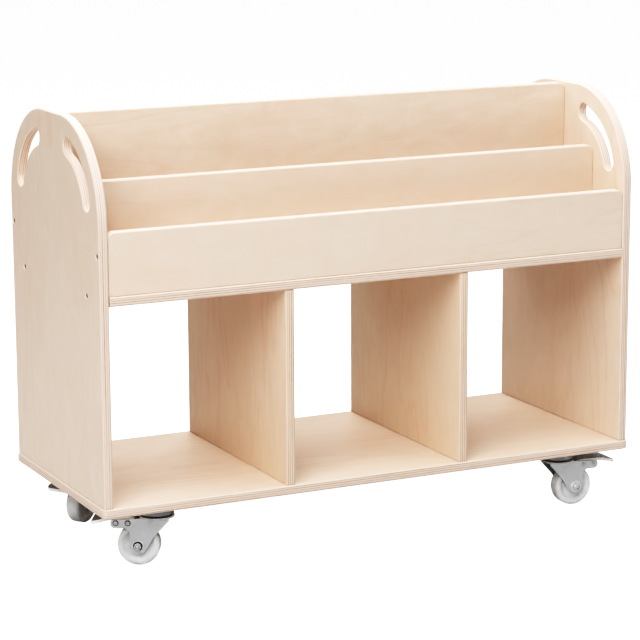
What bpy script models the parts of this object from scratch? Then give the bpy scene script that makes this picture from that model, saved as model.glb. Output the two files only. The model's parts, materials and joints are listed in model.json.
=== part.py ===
"""Double-sided mobile book cart of birch plywood on four braked swivel casters.

Metres, +Z up. The origin is on the floor under the middle of the cart, with X along its length.
"""

import bmesh
import bpy
from math import acos, atan2, ceil, cos, hypot, pi, radians, sin, tan
from mathutils import Matrix, Vector

# Gaps
SEAT_GAP = 0.0003
RUN_GAP = 0.0004

# Plywood cabinet
BASE_LENGTH = 0.900
BASE_DEPTH = 0.378
PLY_THICKNESS = 0.0145
BASE_CORNER = 0.008
BASE_REVEAL = 0.0025
PANEL_HEIGHT = 0.560
PANEL_SHOULDER = 0.148
DIVIDER_SPACING = 0.2955
CUBBY_HEIGHT = 0.298
BOARD_CORNER = 0.010
LOW_BOARD_HEIGHT = 0.0935
MIDDLE_BOARD_HEIGHT = 0.154
CENTRE_BOARD_HEIGHT = 0.2455
LOW_BOARD_SETBACK = 0.0025
EDGE_ROUND = 0.0028

# Handle slots, concentric with the panel's shoulders
SLOT_WIDTH = 0.0265
SLOT_MARGIN = 0.0285
SLOT_LOW_ANGLE = radians(17.5)
SLOT_HIGH_ANGLE = radians(76)

# Caster wheel and axle
WHEEL_RADIUS = 0.032
WHEEL_WIDTH = 0.023
WHEEL_RIM = 0.0085
WHEEL_DISH = 0.003
TREAD_ROUND = 0.0025
HUB_RADIUS = 0.0095
HUB_WIDTH = 0.028
AXLE_RADIUS = 0.003
AXLE_HEAD_RADIUS = 0.0062
AXLE_HEAD_HEIGHT = 0.0036
AXLE_NUT_RADIUS = 0.0058
AXLE_NUT_HEIGHT = 0.005
AXLE_END = 0.002

# Caster fork, bearing and plate
TRAIL = 0.026
FORK_STEEL = 0.0022
LEG_END_RADIUS = 0.0128
LEG_THROAT = 0.0165
BOSS_RADIUS = 0.0095
BOSS_HEIGHT = 0.0024
CROWN_RADIUS = 0.0275
CROWN_FOOT_RADIUS = 0.0150
CROWN_HEIGHT = 0.0078
CROWN_LIP = 0.003
WHEEL_TO_CROWN = 0.0055
RACE_RADIUS = 0.018
RACE_GAP = 0.0030
CUP_RADIUS = 0.0265
CUP_HEIGHT = 0.0102
PLATE_SIDE = 0.060
PLATE_CORNER = 0.007
PLATE_THICKNESS = 0.0025
KING_RADIUS = 0.005
KING_HEAD_RADIUS = 0.0085
KING_HEAD_HEIGHT = 0.0028
KING_TOP_HEIGHT = 0.0016
CASTER_INSET_X = 0.1025
CASTER_INSET_Y = 0.0505

# Caster brake
PIN_RADIUS = 0.0024
PIN_HEAD_RADIUS = 0.0034
PIN_HEAD_HEIGHT = 0.0010
PIN_SPACING = 0.018
PIN_ABOVE_TREAD = 0.0057
PIN_ANGLE = radians(67)
ARM_END_RADIUS = 0.008
SHOE_LOW_ANGLE = radians(50)
SHOE_HIGH_ANGLE = radians(66)
SHOE_BACK = 0.0048
PEDAL_STEEL = 0.0016
PEDAL_RISE = 0.0078
PEDAL_LENGTH = 0.054
PEDAL_FLARE_WIDTH = 0.044
PEDAL_FLANGE = 0.0042
PEDAL_DROP = 0.005
CHEEK_LENGTH = 0.010
CHEEK_DEPTH = 0.0133

# Facets
WHEEL_SIDES = 24
RING_SIDES = 16
ROUND_SIDES = 10
PIN_SIDES = 8
BALL_SIDES = 6
FACET_SAG = 0.0003

# Each caster's place on the base and the heading of its trail, as the cart was left standing
CASTERS = {
    "front_left": (-1, -1, radians(150)),
    "front_right": (1, -1, radians(-2)),
    "rear_left": (-1, 1, radians(-141)),
    "rear_right": (1, 1, radians(-35)),
}

# Heights of a caster, worked up from the floor to the base board
AXLE_Z = WHEEL_RADIUS * cos(pi / WHEEL_SIDES)
CROWN_LOW = AXLE_Z + WHEEL_RADIUS + WHEEL_TO_CROWN
CROWN_TOP = CROWN_LOW + CROWN_HEIGHT
CUP_LOW = CROWN_TOP + RACE_GAP
PLATE_LOW = CUP_LOW + CUP_HEIGHT
PLATE_TOP = PLATE_LOW + PLATE_THICKNESS

# Places of the fork's legs, the brake's two pins and the pedal's cheeks, from the swivel axis
LEG_Y = HUB_WIDTH / 2 + RUN_GAP + FORK_STEEL / 2
LEG_OUTSIDE = LEG_Y + FORK_STEEL / 2
PIN_X = TRAIL + (WHEEL_RADIUS + PIN_ABOVE_TREAD) * cos(PIN_ANGLE)
PIN_Z = AXLE_Z + (WHEEL_RADIUS + PIN_ABOVE_TREAD) * sin(PIN_ANGLE)
STOP_X = PIN_X + PIN_SPACING
PEDAL_INNER = HUB_WIDTH / 2 + RUN_GAP - SEAT_GAP - PEDAL_STEEL

# Levels and faces of the cabinet
BASE_LOW = PLATE_TOP + SEAT_GAP
BASE_TOP = BASE_LOW + PLY_THICKNESS
SHELF_LOW = BASE_TOP + CUBBY_HEIGHT
SHELF_TOP = SHELF_LOW + PLY_THICKNESS
PANEL_DEPTH = BASE_DEPTH - 2 * BASE_REVEAL
PANEL_OUTSIDE = BASE_LENGTH / 2 - BASE_REVEAL
PANEL_INSIDE = PANEL_OUTSIDE - PLY_THICKNESS
INNER_LENGTH = 2 * (PANEL_INSIDE - SEAT_GAP)
DIVIDER_X = DIVIDER_SPACING / 2
LOW_BOARD_Y = PANEL_DEPTH / 2 - LOW_BOARD_SETBACK - PLY_THICKNESS / 2
MIDDLE_BOARD_Y = LOW_BOARD_Y / 2

UPRIGHT_ALONG_X = (pi / 2, 0, 0)
UPRIGHT_ALONG_Y = (pi / 2, 0, pi / 2)


def clear_scene():
    for obj in list(bpy.data.objects):
        bpy.data.objects.remove(obj)


def collection(name, hidden=False):
    made = bpy.data.collections.new(name)
    made.hide_render = hidden
    bpy.context.scene.collection.children.link(made)
    return made


def finish(name, colour, roughness, metallic=0.0):
    """A material with one Principled BSDF."""
    made = bpy.data.materials.new(name)
    made.use_nodes = True
    shader = made.node_tree.nodes["Principled BSDF"]
    shader.inputs["Base Color"].default_value = (*colour, 1)
    shader.inputs["Roughness"].default_value = roughness
    shader.inputs["Metallic"].default_value = metallic
    return made


def new_object(name, mesh, group):
    obj = bpy.data.objects.new(name, mesh)
    group.objects.link(obj)
    return obj


def part(name, mesh, material, location=(0, 0, 0), rotation=(0, 0, 0), parent=None):
    """One piece of the cart, in the parts collection."""
    if not mesh.materials:
        mesh.materials.append(material)
    obj = new_object(name, mesh, PARTS)
    obj.location = location
    obj.rotation_euler = rotation
    obj.parent = parent
    return obj


def helper(name, mesh):
    """A wire-drawn helper, which is no piece of the cart."""
    obj = new_object(name, mesh, CUTTERS)
    obj.hide_render = True
    obj.display_type = "WIRE"
    return obj


def frozen(obj):
    """The finished mesh of a helper, which is then removed."""
    bpy.context.view_layer.update()
    graph = bpy.context.evaluated_depsgraph_get()
    mesh = bpy.data.meshes.new_from_object(obj.evaluated_get(graph))
    mesh.transform(obj.matrix_world)
    bpy.data.objects.remove(obj)
    return mesh


def welded(mesh):
    """The mesh with its loose caps joined to its walls and its faces turned out."""
    work = bmesh.new()
    work.from_mesh(mesh)
    bmesh.ops.remove_doubles(work, verts=work.verts, dist=1e-6)
    bmesh.ops.recalc_face_normals(work, faces=work.faces)
    work.to_mesh(mesh)
    work.free()
    return mesh


def smooth(mesh, angle=radians(35)):
    mesh.shade_smooth()
    mesh.set_sharp_from_angle(angle=angle)
    return mesh


def arc(centre, radius, start, end):
    """Points along an arc, both ends included, close enough that no facet sags further than FACET_SAG."""
    steps = max(2, ceil(abs(end - start) / (2 * acos(1 - FACET_SAG / radius))))
    turns = [start + (end - start) * i / steps for i in range(steps + 1)]
    return [(centre[0] + radius * cos(a), centre[1] + radius * sin(a)) for a in turns]


def circle(radius, sides):
    """Points round the origin whose flats, not corners, touch the circle."""
    turns = [2 * pi * i / sides for i in range(sides)]
    return [(radius / cos(pi / sides) * cos(a), radius / cos(pi / sides) * sin(a)) for a in turns]


def rounded(corners):
    """The outline of a polygon whose corners, each (x, y, radius), are rounded by tangent arcs."""
    points = []
    for i, (x, y, radius) in enumerate(corners):
        here = Vector((x, y))
        if radius == 0:
            points.append((x, y))
            continue
        back = (Vector(corners[i - 1][:2]) - here).normalized()
        ahead = (Vector(corners[(i + 1) % len(corners)][:2]) - here).normalized()
        half = back.angle(ahead) / 2
        centre = here + (back + ahead).normalized() * (radius / sin(half))
        first = here + back * (radius / tan(half)) - centre
        last = here + ahead * (radius / tan(half)) - centre
        start = atan2(first.y, first.x)
        turn = (atan2(last.y, last.x) - start + pi) % (2 * pi) - pi
        points += arc(centre, radius, start, start + turn)
    return points


def sheet(name, outlines, thickness):
    """A flat piece in the XY plane, centred on its thickness: the first outline less the others."""
    curve = bpy.data.curves.new(name, "CURVE")
    curve.dimensions = "2D"
    curve.fill_mode = "BOTH"
    curve.extrude = thickness / 2
    for points in outlines:
        spline = curve.splines.new("POLY")
        spline.points.add(len(points) - 1)
        for point, (x, y) in zip(spline.points, points):
            point.co = (x, y, 0, 1)
        spline.use_cyclic_u = True
    return welded(frozen(helper(name, curve)))


def turned(name, profile, sides):
    """A solid of revolution about Z from a closed profile of (radius, z), listed down its outer side."""
    mesh = bpy.data.meshes.new(name)
    ends = range(len(profile))
    edges = [(i, (i + 1) % len(profile)) for i in ends if profile[i][0] or profile[i - len(profile) + 1][0]]
    mesh.from_pydata([(r, 0, z) for r, z in profile], edges, [])
    obj = helper(name, mesh)
    screw = obj.modifiers.new("turn", "SCREW")
    screw.steps = sides
    screw.render_steps = sides
    screw.use_merge_vertices = True
    screw.merge_threshold = 1e-6
    return smooth(welded(frozen(obj)))


def bore_cutter(radius, length, sides=ROUND_SIDES):
    """A closed cylinder along Z, centred on the origin, whose flats clear a shaft of this radius."""
    mesh = bpy.data.meshes.new("bore_cutter")
    corner = radius / cos(pi / sides)
    work = bmesh.new()
    bmesh.ops.create_cone(work, cap_ends=True, segments=sides, radius1=corner, radius2=corner, depth=length)
    work.to_mesh(mesh)
    work.free()
    return mesh


def placed(mesh, location, rotation=(0, 0, 0)):
    """The mesh moved for good to where it goes."""
    turn = Matrix.Rotation(rotation[2], 4, "Z") @ Matrix.Rotation(rotation[0], 4, "X")
    mesh.transform(Matrix.Translation(location) @ turn)
    return mesh


def combined(name, mesh, steps):
    """The mesh after a row of Booleans, each (operation, mesh)."""
    obj = helper(name, mesh)
    tools = []
    for i, (operation, tool) in enumerate(steps):
        tools.append(helper(f"{name}_tool_{i}", tool))
        change = obj.modifiers.new(f"step_{i}", "BOOLEAN")
        change.operation = operation
        change.object = tools[-1]
    result = frozen(obj)
    for tool in tools:
        bpy.data.objects.remove(tool)
    return smooth(welded(result))


def round_edges(obj, thickness, seats=(), width=EDGE_ROUND):
    """Rounds the outlines of a flat piece's two faces, apart from its seats, each (axis, value)."""
    work = bmesh.new()
    work.from_mesh(obj.data)
    weight = work.edges.layers.float.new("bevel_weight_edge")
    for edge in work.edges:
        ends = [vert.co for vert in edge.verts]
        on_face = all(abs(abs(co.z) - thickness / 2) < 1e-6 for co in ends) and ends[0].z * ends[1].z > 0
        seated = any(all(abs(co[axis] - value) < 1e-6 for co in ends) for axis, value in seats)
        if on_face and edge.calc_face_angle(0) > pi / 4 and not seated:
            edge[weight] = 1
    work.to_mesh(obj.data)
    work.free()
    bevel = obj.modifiers.new("round_edges", "BEVEL")
    bevel.limit_method = "WEIGHT"
    bevel.width = width
    bevel.segments = 2
    bevel.use_clamp_overlap = False
    smooth(obj.data)


def slot_outline(side):
    """A curved handle slot with round ends, on the side (1 or -1) of the panel's middle."""
    centre = (PANEL_DEPTH / 2 - PANEL_SHOULDER, PANEL_HEIGHT - PANEL_SHOULDER)
    middle = PANEL_SHOULDER - SLOT_MARGIN - SLOT_WIDTH / 2
    half = SLOT_WIDTH / 2
    angles = (SLOT_LOW_ANGLE, SLOT_HIGH_ANGLE)
    ends = [(centre[0] + middle * cos(a), centre[1] + middle * sin(a)) for a in angles]
    points = arc(centre, middle + half, SLOT_LOW_ANGLE, SLOT_HIGH_ANGLE)
    points += arc(ends[1], half, SLOT_HIGH_ANGLE, SLOT_HIGH_ANGLE + pi)[1:-1]
    points += arc(centre, middle - half, SLOT_HIGH_ANGLE, SLOT_LOW_ANGLE)
    points += arc(ends[0], half, SLOT_LOW_ANGLE + pi, SLOT_LOW_ANGLE + 2 * pi)[1:-1]
    return [(side * x, y) for x, y in points]


def base_board():
    half_x, half_y = BASE_LENGTH / 2, BASE_DEPTH / 2
    corners = [(x * half_x, y * half_y, BASE_CORNER) for x, y in ((-1, -1), (1, -1), (1, 1), (-1, 1))]
    mesh = sheet("base_board", [rounded(corners)], PLY_THICKNESS)
    obj = part("base_board", mesh, BIRCH, (0, 0, BASE_LOW + PLY_THICKNESS / 2))
    round_edges(obj, PLY_THICKNESS)


def side_panels():
    half = PANEL_DEPTH / 2
    outline = rounded([
        (-half, 0, 0),
        (half, 0, 0),
        (half, PANEL_HEIGHT, PANEL_SHOULDER),
        (-half, PANEL_HEIGHT, PANEL_SHOULDER),
    ])
    for name, side in (("side_panel_left", -1), ("side_panel_right", 1)):
        mesh = sheet(name, [outline, slot_outline(-1), slot_outline(1)], PLY_THICKNESS)
        x = side * (PANEL_INSIDE + PLY_THICKNESS / 2)
        obj = part(name, mesh, BIRCH, (x, 0, BASE_TOP + SEAT_GAP), UPRIGHT_ALONG_Y)
        round_edges(obj, PLY_THICKNESS, [(1, 0)])


def book_shelf():
    half_x, half_y = INNER_LENGTH / 2, PANEL_DEPTH / 2
    outline = [(-half_x, -half_y), (half_x, -half_y), (half_x, half_y), (-half_x, half_y)]
    mesh = sheet("book_shelf", [outline], PLY_THICKNESS)
    obj = part("book_shelf", mesh, BIRCH, (0, 0, SHELF_LOW + PLY_THICKNESS / 2))
    round_edges(obj, PLY_THICKNESS, [(0, -half_x), (0, half_x)])


def dividers():
    half = PANEL_DEPTH / 2
    height = CUBBY_HEIGHT - 2 * SEAT_GAP
    outline = [(-half, 0), (half, 0), (half, height), (-half, height)]
    for name, side in (("divider_left", -1), ("divider_right", 1)):
        mesh = sheet(name, [outline], PLY_THICKNESS)
        obj = part(name, mesh, BIRCH, (side * DIVIDER_X, 0, BASE_TOP + SEAT_GAP), UPRIGHT_ALONG_Y)
        round_edges(obj, PLY_THICKNESS, [(1, 0), (1, height)])


def trough_boards():
    half = INNER_LENGTH / 2
    places = (
        ("centre_board", 0, CENTRE_BOARD_HEIGHT),
        ("front_middle_board", -MIDDLE_BOARD_Y, MIDDLE_BOARD_HEIGHT),
        ("rear_middle_board", MIDDLE_BOARD_Y, MIDDLE_BOARD_HEIGHT),
        ("front_low_board", -LOW_BOARD_Y, LOW_BOARD_HEIGHT),
        ("rear_low_board", LOW_BOARD_Y, LOW_BOARD_HEIGHT),
    )
    for name, y, height in places:
        corners = [(-half, 0, 0), (half, 0, 0), (half, height, BOARD_CORNER), (-half, height, BOARD_CORNER)]
        mesh = sheet(name, [rounded(corners)], PLY_THICKNESS)
        obj = part(name, mesh, BIRCH, (0, y, SHELF_TOP + SEAT_GAP), UPRIGHT_ALONG_X)
        round_edges(obj, PLY_THICKNESS, [(1, 0)])


def wheel_mesh():
    """A nylon wheel along Z with a crowned tread, dished sides and a hub that stands a little proud."""
    half, hub, bore = WHEEL_WIDTH / 2, HUB_WIDTH / 2, AXLE_RADIUS + SEAT_GAP
    rim = WHEEL_RADIUS - WHEEL_RIM
    web = half - WHEEL_DISH
    upper = [
        (bore, hub),
        (HUB_RADIUS, hub),
        (HUB_RADIUS + WHEEL_DISH / 2, web),
        (rim - WHEEL_DISH / 2, web),
        (rim, half),
        (WHEEL_RADIUS - TREAD_ROUND, half),
        (WHEEL_RADIUS, half - TREAD_ROUND),
    ]
    lower = [(r, -z) for r, z in reversed(upper)]
    mesh = turned("wheel", upper + lower, WHEEL_SIDES)
    # Half a facet of turn sets a flat of the tread on the floor.
    mesh.transform(Matrix.Rotation(pi / 2 + pi / WHEEL_SIDES, 4, "Z"))
    return mesh


def leg_outline():
    """One leg of the fork in its (x, z) plane, from the swivel axis and the floor."""
    low = AXLE_Z - LEG_END_RADIUS
    throat_z = AXLE_Z + LEG_THROAT
    reach = hypot(TRAIL, LEG_THROAT)
    slope = atan2(-LEG_THROAT, TRAIL) - atan2(LEG_END_RADIUS, (reach**2 - LEG_END_RADIUS**2) ** 0.5)
    toe_x = (low - throat_z) / tan(slope)
    heel_x = TRAIL + LEG_END_RADIUS
    arm_low = PIN_Z - ARM_END_RADIUS
    arm_end = STOP_X + ARM_END_RADIUS
    arm_top = PIN_Z + ARM_END_RADIUS * 0.55
    leg_top = CROWN_TOP - CROWN_LIP
    shoulder = CROWN_RADIUS * 0.76
    return rounded([
        (toe_x, low, LEG_END_RADIUS * 0.98),
        (heel_x, low, LEG_END_RADIUS * 0.98),
        (heel_x, arm_low, LEG_END_RADIUS * 0.7),
        (arm_end, arm_low, ARM_END_RADIUS * 0.8),
        (arm_end, arm_top, ARM_END_RADIUS * 0.5),
        (shoulder, leg_top, 0),
        (-shoulder, leg_top, 0),
        (-shoulder, leg_top - CROWN_LIP, 0),
        (0, throat_z, LEG_END_RADIUS),
    ])


def crown_mesh():
    """The fork's crown: a lipped disc about the swivel axis that sweeps down into the legs."""
    bore = KING_RADIUS + SEAT_GAP
    lip_z = CROWN_TOP - CROWN_LIP
    profile = [(bore, CROWN_TOP), (CROWN_RADIUS - CROWN_LIP / 2, CROWN_TOP)]
    profile += [(CROWN_RADIUS, CROWN_TOP - CROWN_LIP / 2)]
    for i in range(4):
        a = pi / 2 * i / 3
        r = CROWN_RADIUS - (CROWN_RADIUS - CROWN_FOOT_RADIUS) * sin(a)
        profile.append((r, lip_z - (lip_z - CROWN_LOW) * (1 - cos(a))))
    profile.append((bore, CROWN_LOW))
    return turned("crown", profile, RING_SIDES)


def across(radius, length, x, z, sides=ROUND_SIDES):
    """A bore cutter along the axle's direction through (x, z)."""
    return placed(bore_cutter(radius, length, sides), (x, 0, z), (pi / 2, 0, 0))


def fork_mesh():
    steps = []
    for side in (-1, 1):
        leg = placed(sheet("leg", [leg_outline()], FORK_STEEL), (0, side * LEG_Y, 0), (pi / 2, 0, 0))
        boss_profile = [
            (0, BOSS_HEIGHT),
            (BOSS_RADIUS - BOSS_HEIGHT, BOSS_HEIGHT),
            (BOSS_RADIUS, 0),
            (BOSS_RADIUS, -FORK_STEEL / 2),
            (0, -FORK_STEEL / 2),
        ]
        boss = turned("boss", boss_profile, ROUND_SIDES)
        placed(boss, (TRAIL, side * LEG_OUTSIDE, AXLE_Z), (-side * pi / 2, 0, 0))
        steps += [("UNION", leg), ("UNION", boss)]
    wide = 4 * LEG_OUTSIDE
    steps.append(("DIFFERENCE", across(AXLE_RADIUS + SEAT_GAP, wide, TRAIL, AXLE_Z)))
    for x in (PIN_X, STOP_X):
        steps.append(("DIFFERENCE", across(PIN_RADIUS + SEAT_GAP, wide, x, PIN_Z, PIN_SIDES)))
    return combined("fork", crown_mesh(), steps)


def plate_mesh():
    """The top plate with its pressed cup and a seat for the king pin's upper head."""
    half = PLATE_SIDE / 2
    corners = [(x * half, y * half, PLATE_CORNER) for x, y in ((-1, -1), (1, -1), (1, 1), (-1, 1))]
    square = sheet("plate", [rounded(corners)], PLATE_THICKNESS)
    placed(square, (0, 0, PLATE_LOW + PLATE_THICKNESS / 2))
    lip = CUP_HEIGHT / 3
    joined = PLATE_LOW + PLATE_THICKNESS / 2
    cup = turned("cup", [
        (0, joined),
        (CUP_RADIUS, joined),
        (CUP_RADIUS, CUP_LOW + lip),
        (CUP_RADIUS - lip, CUP_LOW),
        (0, CUP_LOW),
    ], RING_SIDES)
    bore = bore_cutter(KING_RADIUS + SEAT_GAP, 4 * PLATE_TOP)
    seat = bore_cutter(KING_HEAD_RADIUS + SEAT_GAP, 2 * (KING_TOP_HEIGHT + SEAT_GAP))
    placed(seat, (0, 0, PLATE_TOP))
    return combined("plate", square, [("UNION", cup), ("DIFFERENCE", bore), ("DIFFERENCE", seat)])


def king_pin_mesh():
    low = CROWN_LOW - SEAT_GAP
    return turned("king_pin", [
        (0, PLATE_TOP),
        (KING_HEAD_RADIUS, PLATE_TOP),
        (KING_HEAD_RADIUS, PLATE_TOP - KING_TOP_HEIGHT),
        (KING_RADIUS, PLATE_TOP - KING_TOP_HEIGHT),
        (KING_RADIUS, low),
        (KING_HEAD_RADIUS, low),
        (KING_HEAD_RADIUS * 0.8, low - KING_HEAD_HEIGHT),
        (0, low - KING_HEAD_HEIGHT),
    ], ROUND_SIDES)


def ball_ring_mesh():
    """The ring of bearing balls between the crown and the plate's cup."""
    ball = RACE_GAP / 2 - SEAT_GAP
    middle = CROWN_TOP + RACE_GAP / 2
    turns = [pi / 2 - 2 * pi * i / BALL_SIDES for i in range(BALL_SIDES)]
    profile = [(RACE_RADIUS + ball * cos(a), middle + ball * sin(a)) for a in turns]
    return turned("ball_ring", profile, RING_SIDES)


def axle_bolt_mesh():
    """The axle along Z, with its domed head low and its bare end high."""
    seat = LEG_OUTSIDE + BOSS_HEIGHT + SEAT_GAP
    end = seat + AXLE_NUT_HEIGHT + AXLE_END
    turns = [pi / 2 * i / 3 for i in range(3)]
    dome = [(AXLE_HEAD_RADIUS * cos(a), -seat - AXLE_HEAD_HEIGHT * sin(a)) for a in turns]
    chamfer = AXLE_END / 2
    shank = [(0, end), (AXLE_RADIUS - chamfer, end), (AXLE_RADIUS, end - chamfer), (AXLE_RADIUS, -seat)]
    return turned("axle_bolt", shank + dome + [(0, -seat - AXLE_HEAD_HEIGHT)], ROUND_SIDES)


def axle_nut_mesh():
    """A hexagon nut, centred on its height along Z."""
    hexagon = [(AXLE_NUT_RADIUS * cos(pi / 3 * i), AXLE_NUT_RADIUS * sin(pi / 3 * i)) for i in range(6)]
    bore = circle(AXLE_RADIUS + SEAT_GAP, ROUND_SIDES)
    return sheet("axle_nut", [hexagon, bore], AXLE_NUT_HEIGHT)


def pin_mesh():
    """A rivet along Z with a low head at each end, held in the fork's two arms."""
    seat = LEG_OUTSIDE + SEAT_GAP
    end = seat + PIN_HEAD_HEIGHT
    top = [(0, end), (PIN_HEAD_RADIUS, end), (PIN_HEAD_RADIUS, seat), (PIN_RADIUS, seat)]
    return turned("pin", top + [(r, -z) for r, z in reversed(top)], PIN_SIDES)


def shoe_mesh():
    """The brake shoe in the (x, z) plane about its pin: its hollow face follows the tread."""
    axle = (TRAIL - PIN_X, AXLE_Z - PIN_Z)
    face = arc(axle, WHEEL_RADIUS + RUN_GAP, SHOE_HIGH_ANGLE, SHOE_LOW_ANGLE)
    back = arc((0, 0), SHOE_BACK, pi / 4, pi)
    heel = (face[-1][0] + SHOE_BACK * cos(SHOE_LOW_ANGLE), face[-1][1] + SHOE_BACK * sin(SHOE_LOW_ANGLE))
    bore = circle(PIN_RADIUS + SEAT_GAP, PIN_SIDES)
    thickness = 2 * (PEDAL_INNER - SEAT_GAP)
    mesh = sheet("brake_shoe", [face + [heel] + back, bore], thickness)
    return smooth(placed(mesh, (0, 0, 0), (pi / 2, 0, 0)))


def pedal_mesh():
    """The brake pedal about its pin: a pressed tray that flares past the fork and dips to its tip."""
    half = PEDAL_INNER + PEDAL_STEEL / 2
    wide = PEDAL_FLARE_WIDTH / 2
    inner_end = -CHEEK_LENGTH
    neck = PIN_SPACING + ARM_END_RADIUS + PEDAL_STEEL
    flare = neck + (PEDAL_LENGTH - neck) / 2
    right = [
        (inner_end, -half, 0),
        (neck, -half, half),
        (flare, -wide, half),
        (PEDAL_LENGTH, -wide, wide * 0.35),
    ]
    plan = rounded(right + [(x, -y, r) for x, y, r in reversed(right)])
    work = bmesh.new()
    work.faces.new([work.verts.new((x, y, 0)) for x, y in plan])
    cheek = CHEEK_LENGTH / 2
    bends = [-cheek - PEDAL_STEEL, -cheek, cheek, cheek + PEDAL_STEEL, neck]
    bends += [neck + (PEDAL_LENGTH - neck) * i / 4 for i in range(1, 4)]
    for x in bends:
        everything = work.verts[:] + work.edges[:] + work.faces[:]
        bmesh.ops.bisect_plane(work, geom=everything, plane_co=(x, 0, 0), plane_no=(1, 0, 0), dist=1e-6)
    rim = [edge for edge in work.edges if edge.is_boundary]
    turned_down = bmesh.ops.extrude_edge_only(work, edges=rim)["geom"]
    for vert in [item for item in turned_down if isinstance(item, bmesh.types.BMVert)]:
        at_cheek = abs(vert.co.x) < cheek + 1e-6 and abs(abs(vert.co.y) - half) < 1e-6
        vert.co.z -= CHEEK_DEPTH if at_cheek else PEDAL_FLANGE
    for vert in work.verts:
        past = max(0.0, vert.co.x - neck) / (PEDAL_LENGTH - neck)
        vert.co.z += PEDAL_RISE - PEDAL_DROP * past**2
    bmesh.ops.recalc_face_normals(work, faces=work.faces)
    mesh = bpy.data.meshes.new("brake_pedal")
    work.to_mesh(mesh)
    work.free()
    obj = helper("brake_pedal", mesh)
    shell = obj.modifiers.new("steel", "SOLIDIFY")
    shell.thickness = PEDAL_STEEL
    shell.offset = 0
    shell.use_even_offset = True
    bore = across(PIN_RADIUS + SEAT_GAP, 4 * PEDAL_FLARE_WIDTH, 0, 0, PIN_SIDES)
    return combined("brake_pedal", frozen(obj), [("DIFFERENCE", bore)])


def casters():
    plate, king_pin, ring, fork = plate_mesh(), king_pin_mesh(), ball_ring_mesh(), fork_mesh()
    wheel, bolt, nut, pin = wheel_mesh(), axle_bolt_mesh(), axle_nut_mesh(), pin_mesh()
    pedal, shoe = pedal_mesh(), shoe_mesh()
    lying = (-pi / 2, 0, 0)
    nut_y = LEG_OUTSIDE + BOSS_HEIGHT + SEAT_GAP + AXLE_NUT_HEIGHT / 2
    for name, (side_x, side_y, heading) in CASTERS.items():
        place = (
            side_x * (BASE_LENGTH / 2 - CASTER_INSET_X),
            side_y * (BASE_DEPTH / 2 - CASTER_INSET_Y),
            0,
        )
        part(f"{name}_plate", plate, ZINC, place)
        part(f"{name}_king_pin", king_pin, ZINC, place)
        swivel = bpy.data.objects.new(f"{name}_swivel", None)
        PARTS.objects.link(swivel)
        swivel.location = place
        swivel.rotation_euler = (0, 0, heading)
        part(f"{name}_ball_ring", ring, BEARING_STEEL, parent=swivel)
        part(f"{name}_fork", fork, ZINC, parent=swivel)
        part(f"{name}_wheel", wheel, NYLON, (TRAIL, 0, AXLE_Z), lying, swivel)
        part(f"{name}_axle_bolt", bolt, BEARING_STEEL, (TRAIL, 0, AXLE_Z), lying, swivel)
        part(f"{name}_axle_nut", nut, BEARING_STEEL, (TRAIL, nut_y, AXLE_Z), lying, swivel)
        part(f"{name}_pedal_pin", pin, ZINC, (PIN_X, 0, PIN_Z), lying, swivel)
        part(f"{name}_stop_pin", pin, ZINC, (STOP_X, 0, PIN_Z), lying, swivel)
        part(f"{name}_brake_pedal", pedal, PEDAL_ZINC, (PIN_X, 0, PIN_Z), parent=swivel)
        part(f"{name}_brake_shoe", shoe, SHOE_NYLON, (PIN_X, 0, PIN_Z), parent=swivel)


clear_scene()
PARTS = collection("book_cart")
CUTTERS = collection("cutters", hidden=True)
BIRCH = finish("birch_plywood", (0.80, 0.66, 0.50), 0.5)
ZINC = finish("zinc_plate", (0.62, 0.64, 0.66), 0.35, 1.0)
PEDAL_ZINC = finish("pedal_zinc", (0.55, 0.55, 0.55), 0.3, 1.0)
BEARING_STEEL = finish("bright_steel", (0.75, 0.77, 0.78), 0.2, 1.0)
NYLON = finish("white_nylon", (0.80, 0.81, 0.81), 0.4)
SHOE_NYLON = finish("grey_nylon", (0.25, 0.25, 0.25), 0.6)

base_board()
side_panels()
book_shelf()
dividers()
trough_boards()
casters()
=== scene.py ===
import json
from contextlib import contextmanager
from math import acos, atan2, ceil, cos, hypot, pi, radians, sin, tan

import bmesh
import bpy
from bpy.props import FloatProperty, FloatVectorProperty, IntProperty, PointerProperty
from mathutils import Matrix, Vector


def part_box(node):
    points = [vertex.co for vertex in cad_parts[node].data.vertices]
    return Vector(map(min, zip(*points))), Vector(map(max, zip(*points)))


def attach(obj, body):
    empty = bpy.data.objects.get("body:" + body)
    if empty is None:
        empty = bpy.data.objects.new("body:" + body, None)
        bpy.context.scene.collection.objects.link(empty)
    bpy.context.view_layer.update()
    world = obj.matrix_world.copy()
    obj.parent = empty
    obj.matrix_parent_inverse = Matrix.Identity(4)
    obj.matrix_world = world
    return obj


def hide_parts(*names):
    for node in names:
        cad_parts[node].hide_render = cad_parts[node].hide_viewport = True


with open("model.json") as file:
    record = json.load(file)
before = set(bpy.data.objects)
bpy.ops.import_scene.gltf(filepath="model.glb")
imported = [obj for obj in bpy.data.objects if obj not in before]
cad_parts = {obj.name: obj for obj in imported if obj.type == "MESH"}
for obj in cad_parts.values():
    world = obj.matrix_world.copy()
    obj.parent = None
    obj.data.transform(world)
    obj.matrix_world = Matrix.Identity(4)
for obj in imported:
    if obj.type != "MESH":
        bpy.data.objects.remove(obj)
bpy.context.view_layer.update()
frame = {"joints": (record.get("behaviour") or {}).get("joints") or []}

bl_info = {
    "name": "Book Cart",
    "version": (1, 0, 0),
    "blender": (4, 5, 0),
    "location": "View3D > Sidebar > Book Cart",
    "description": "Dresses a double-sided plywood book cart on braked swivel casters",
    "category": "Object",
}

JOINTS = {joint["name"]: joint for joint in frame["joints"]}
CASTERS = ("front_left", "front_right", "rear_left", "rear_right")
CABINET = "cabinet"
CORNERS = ((-1, -1), (1, -1), (1, 1), (-1, 1))

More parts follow.
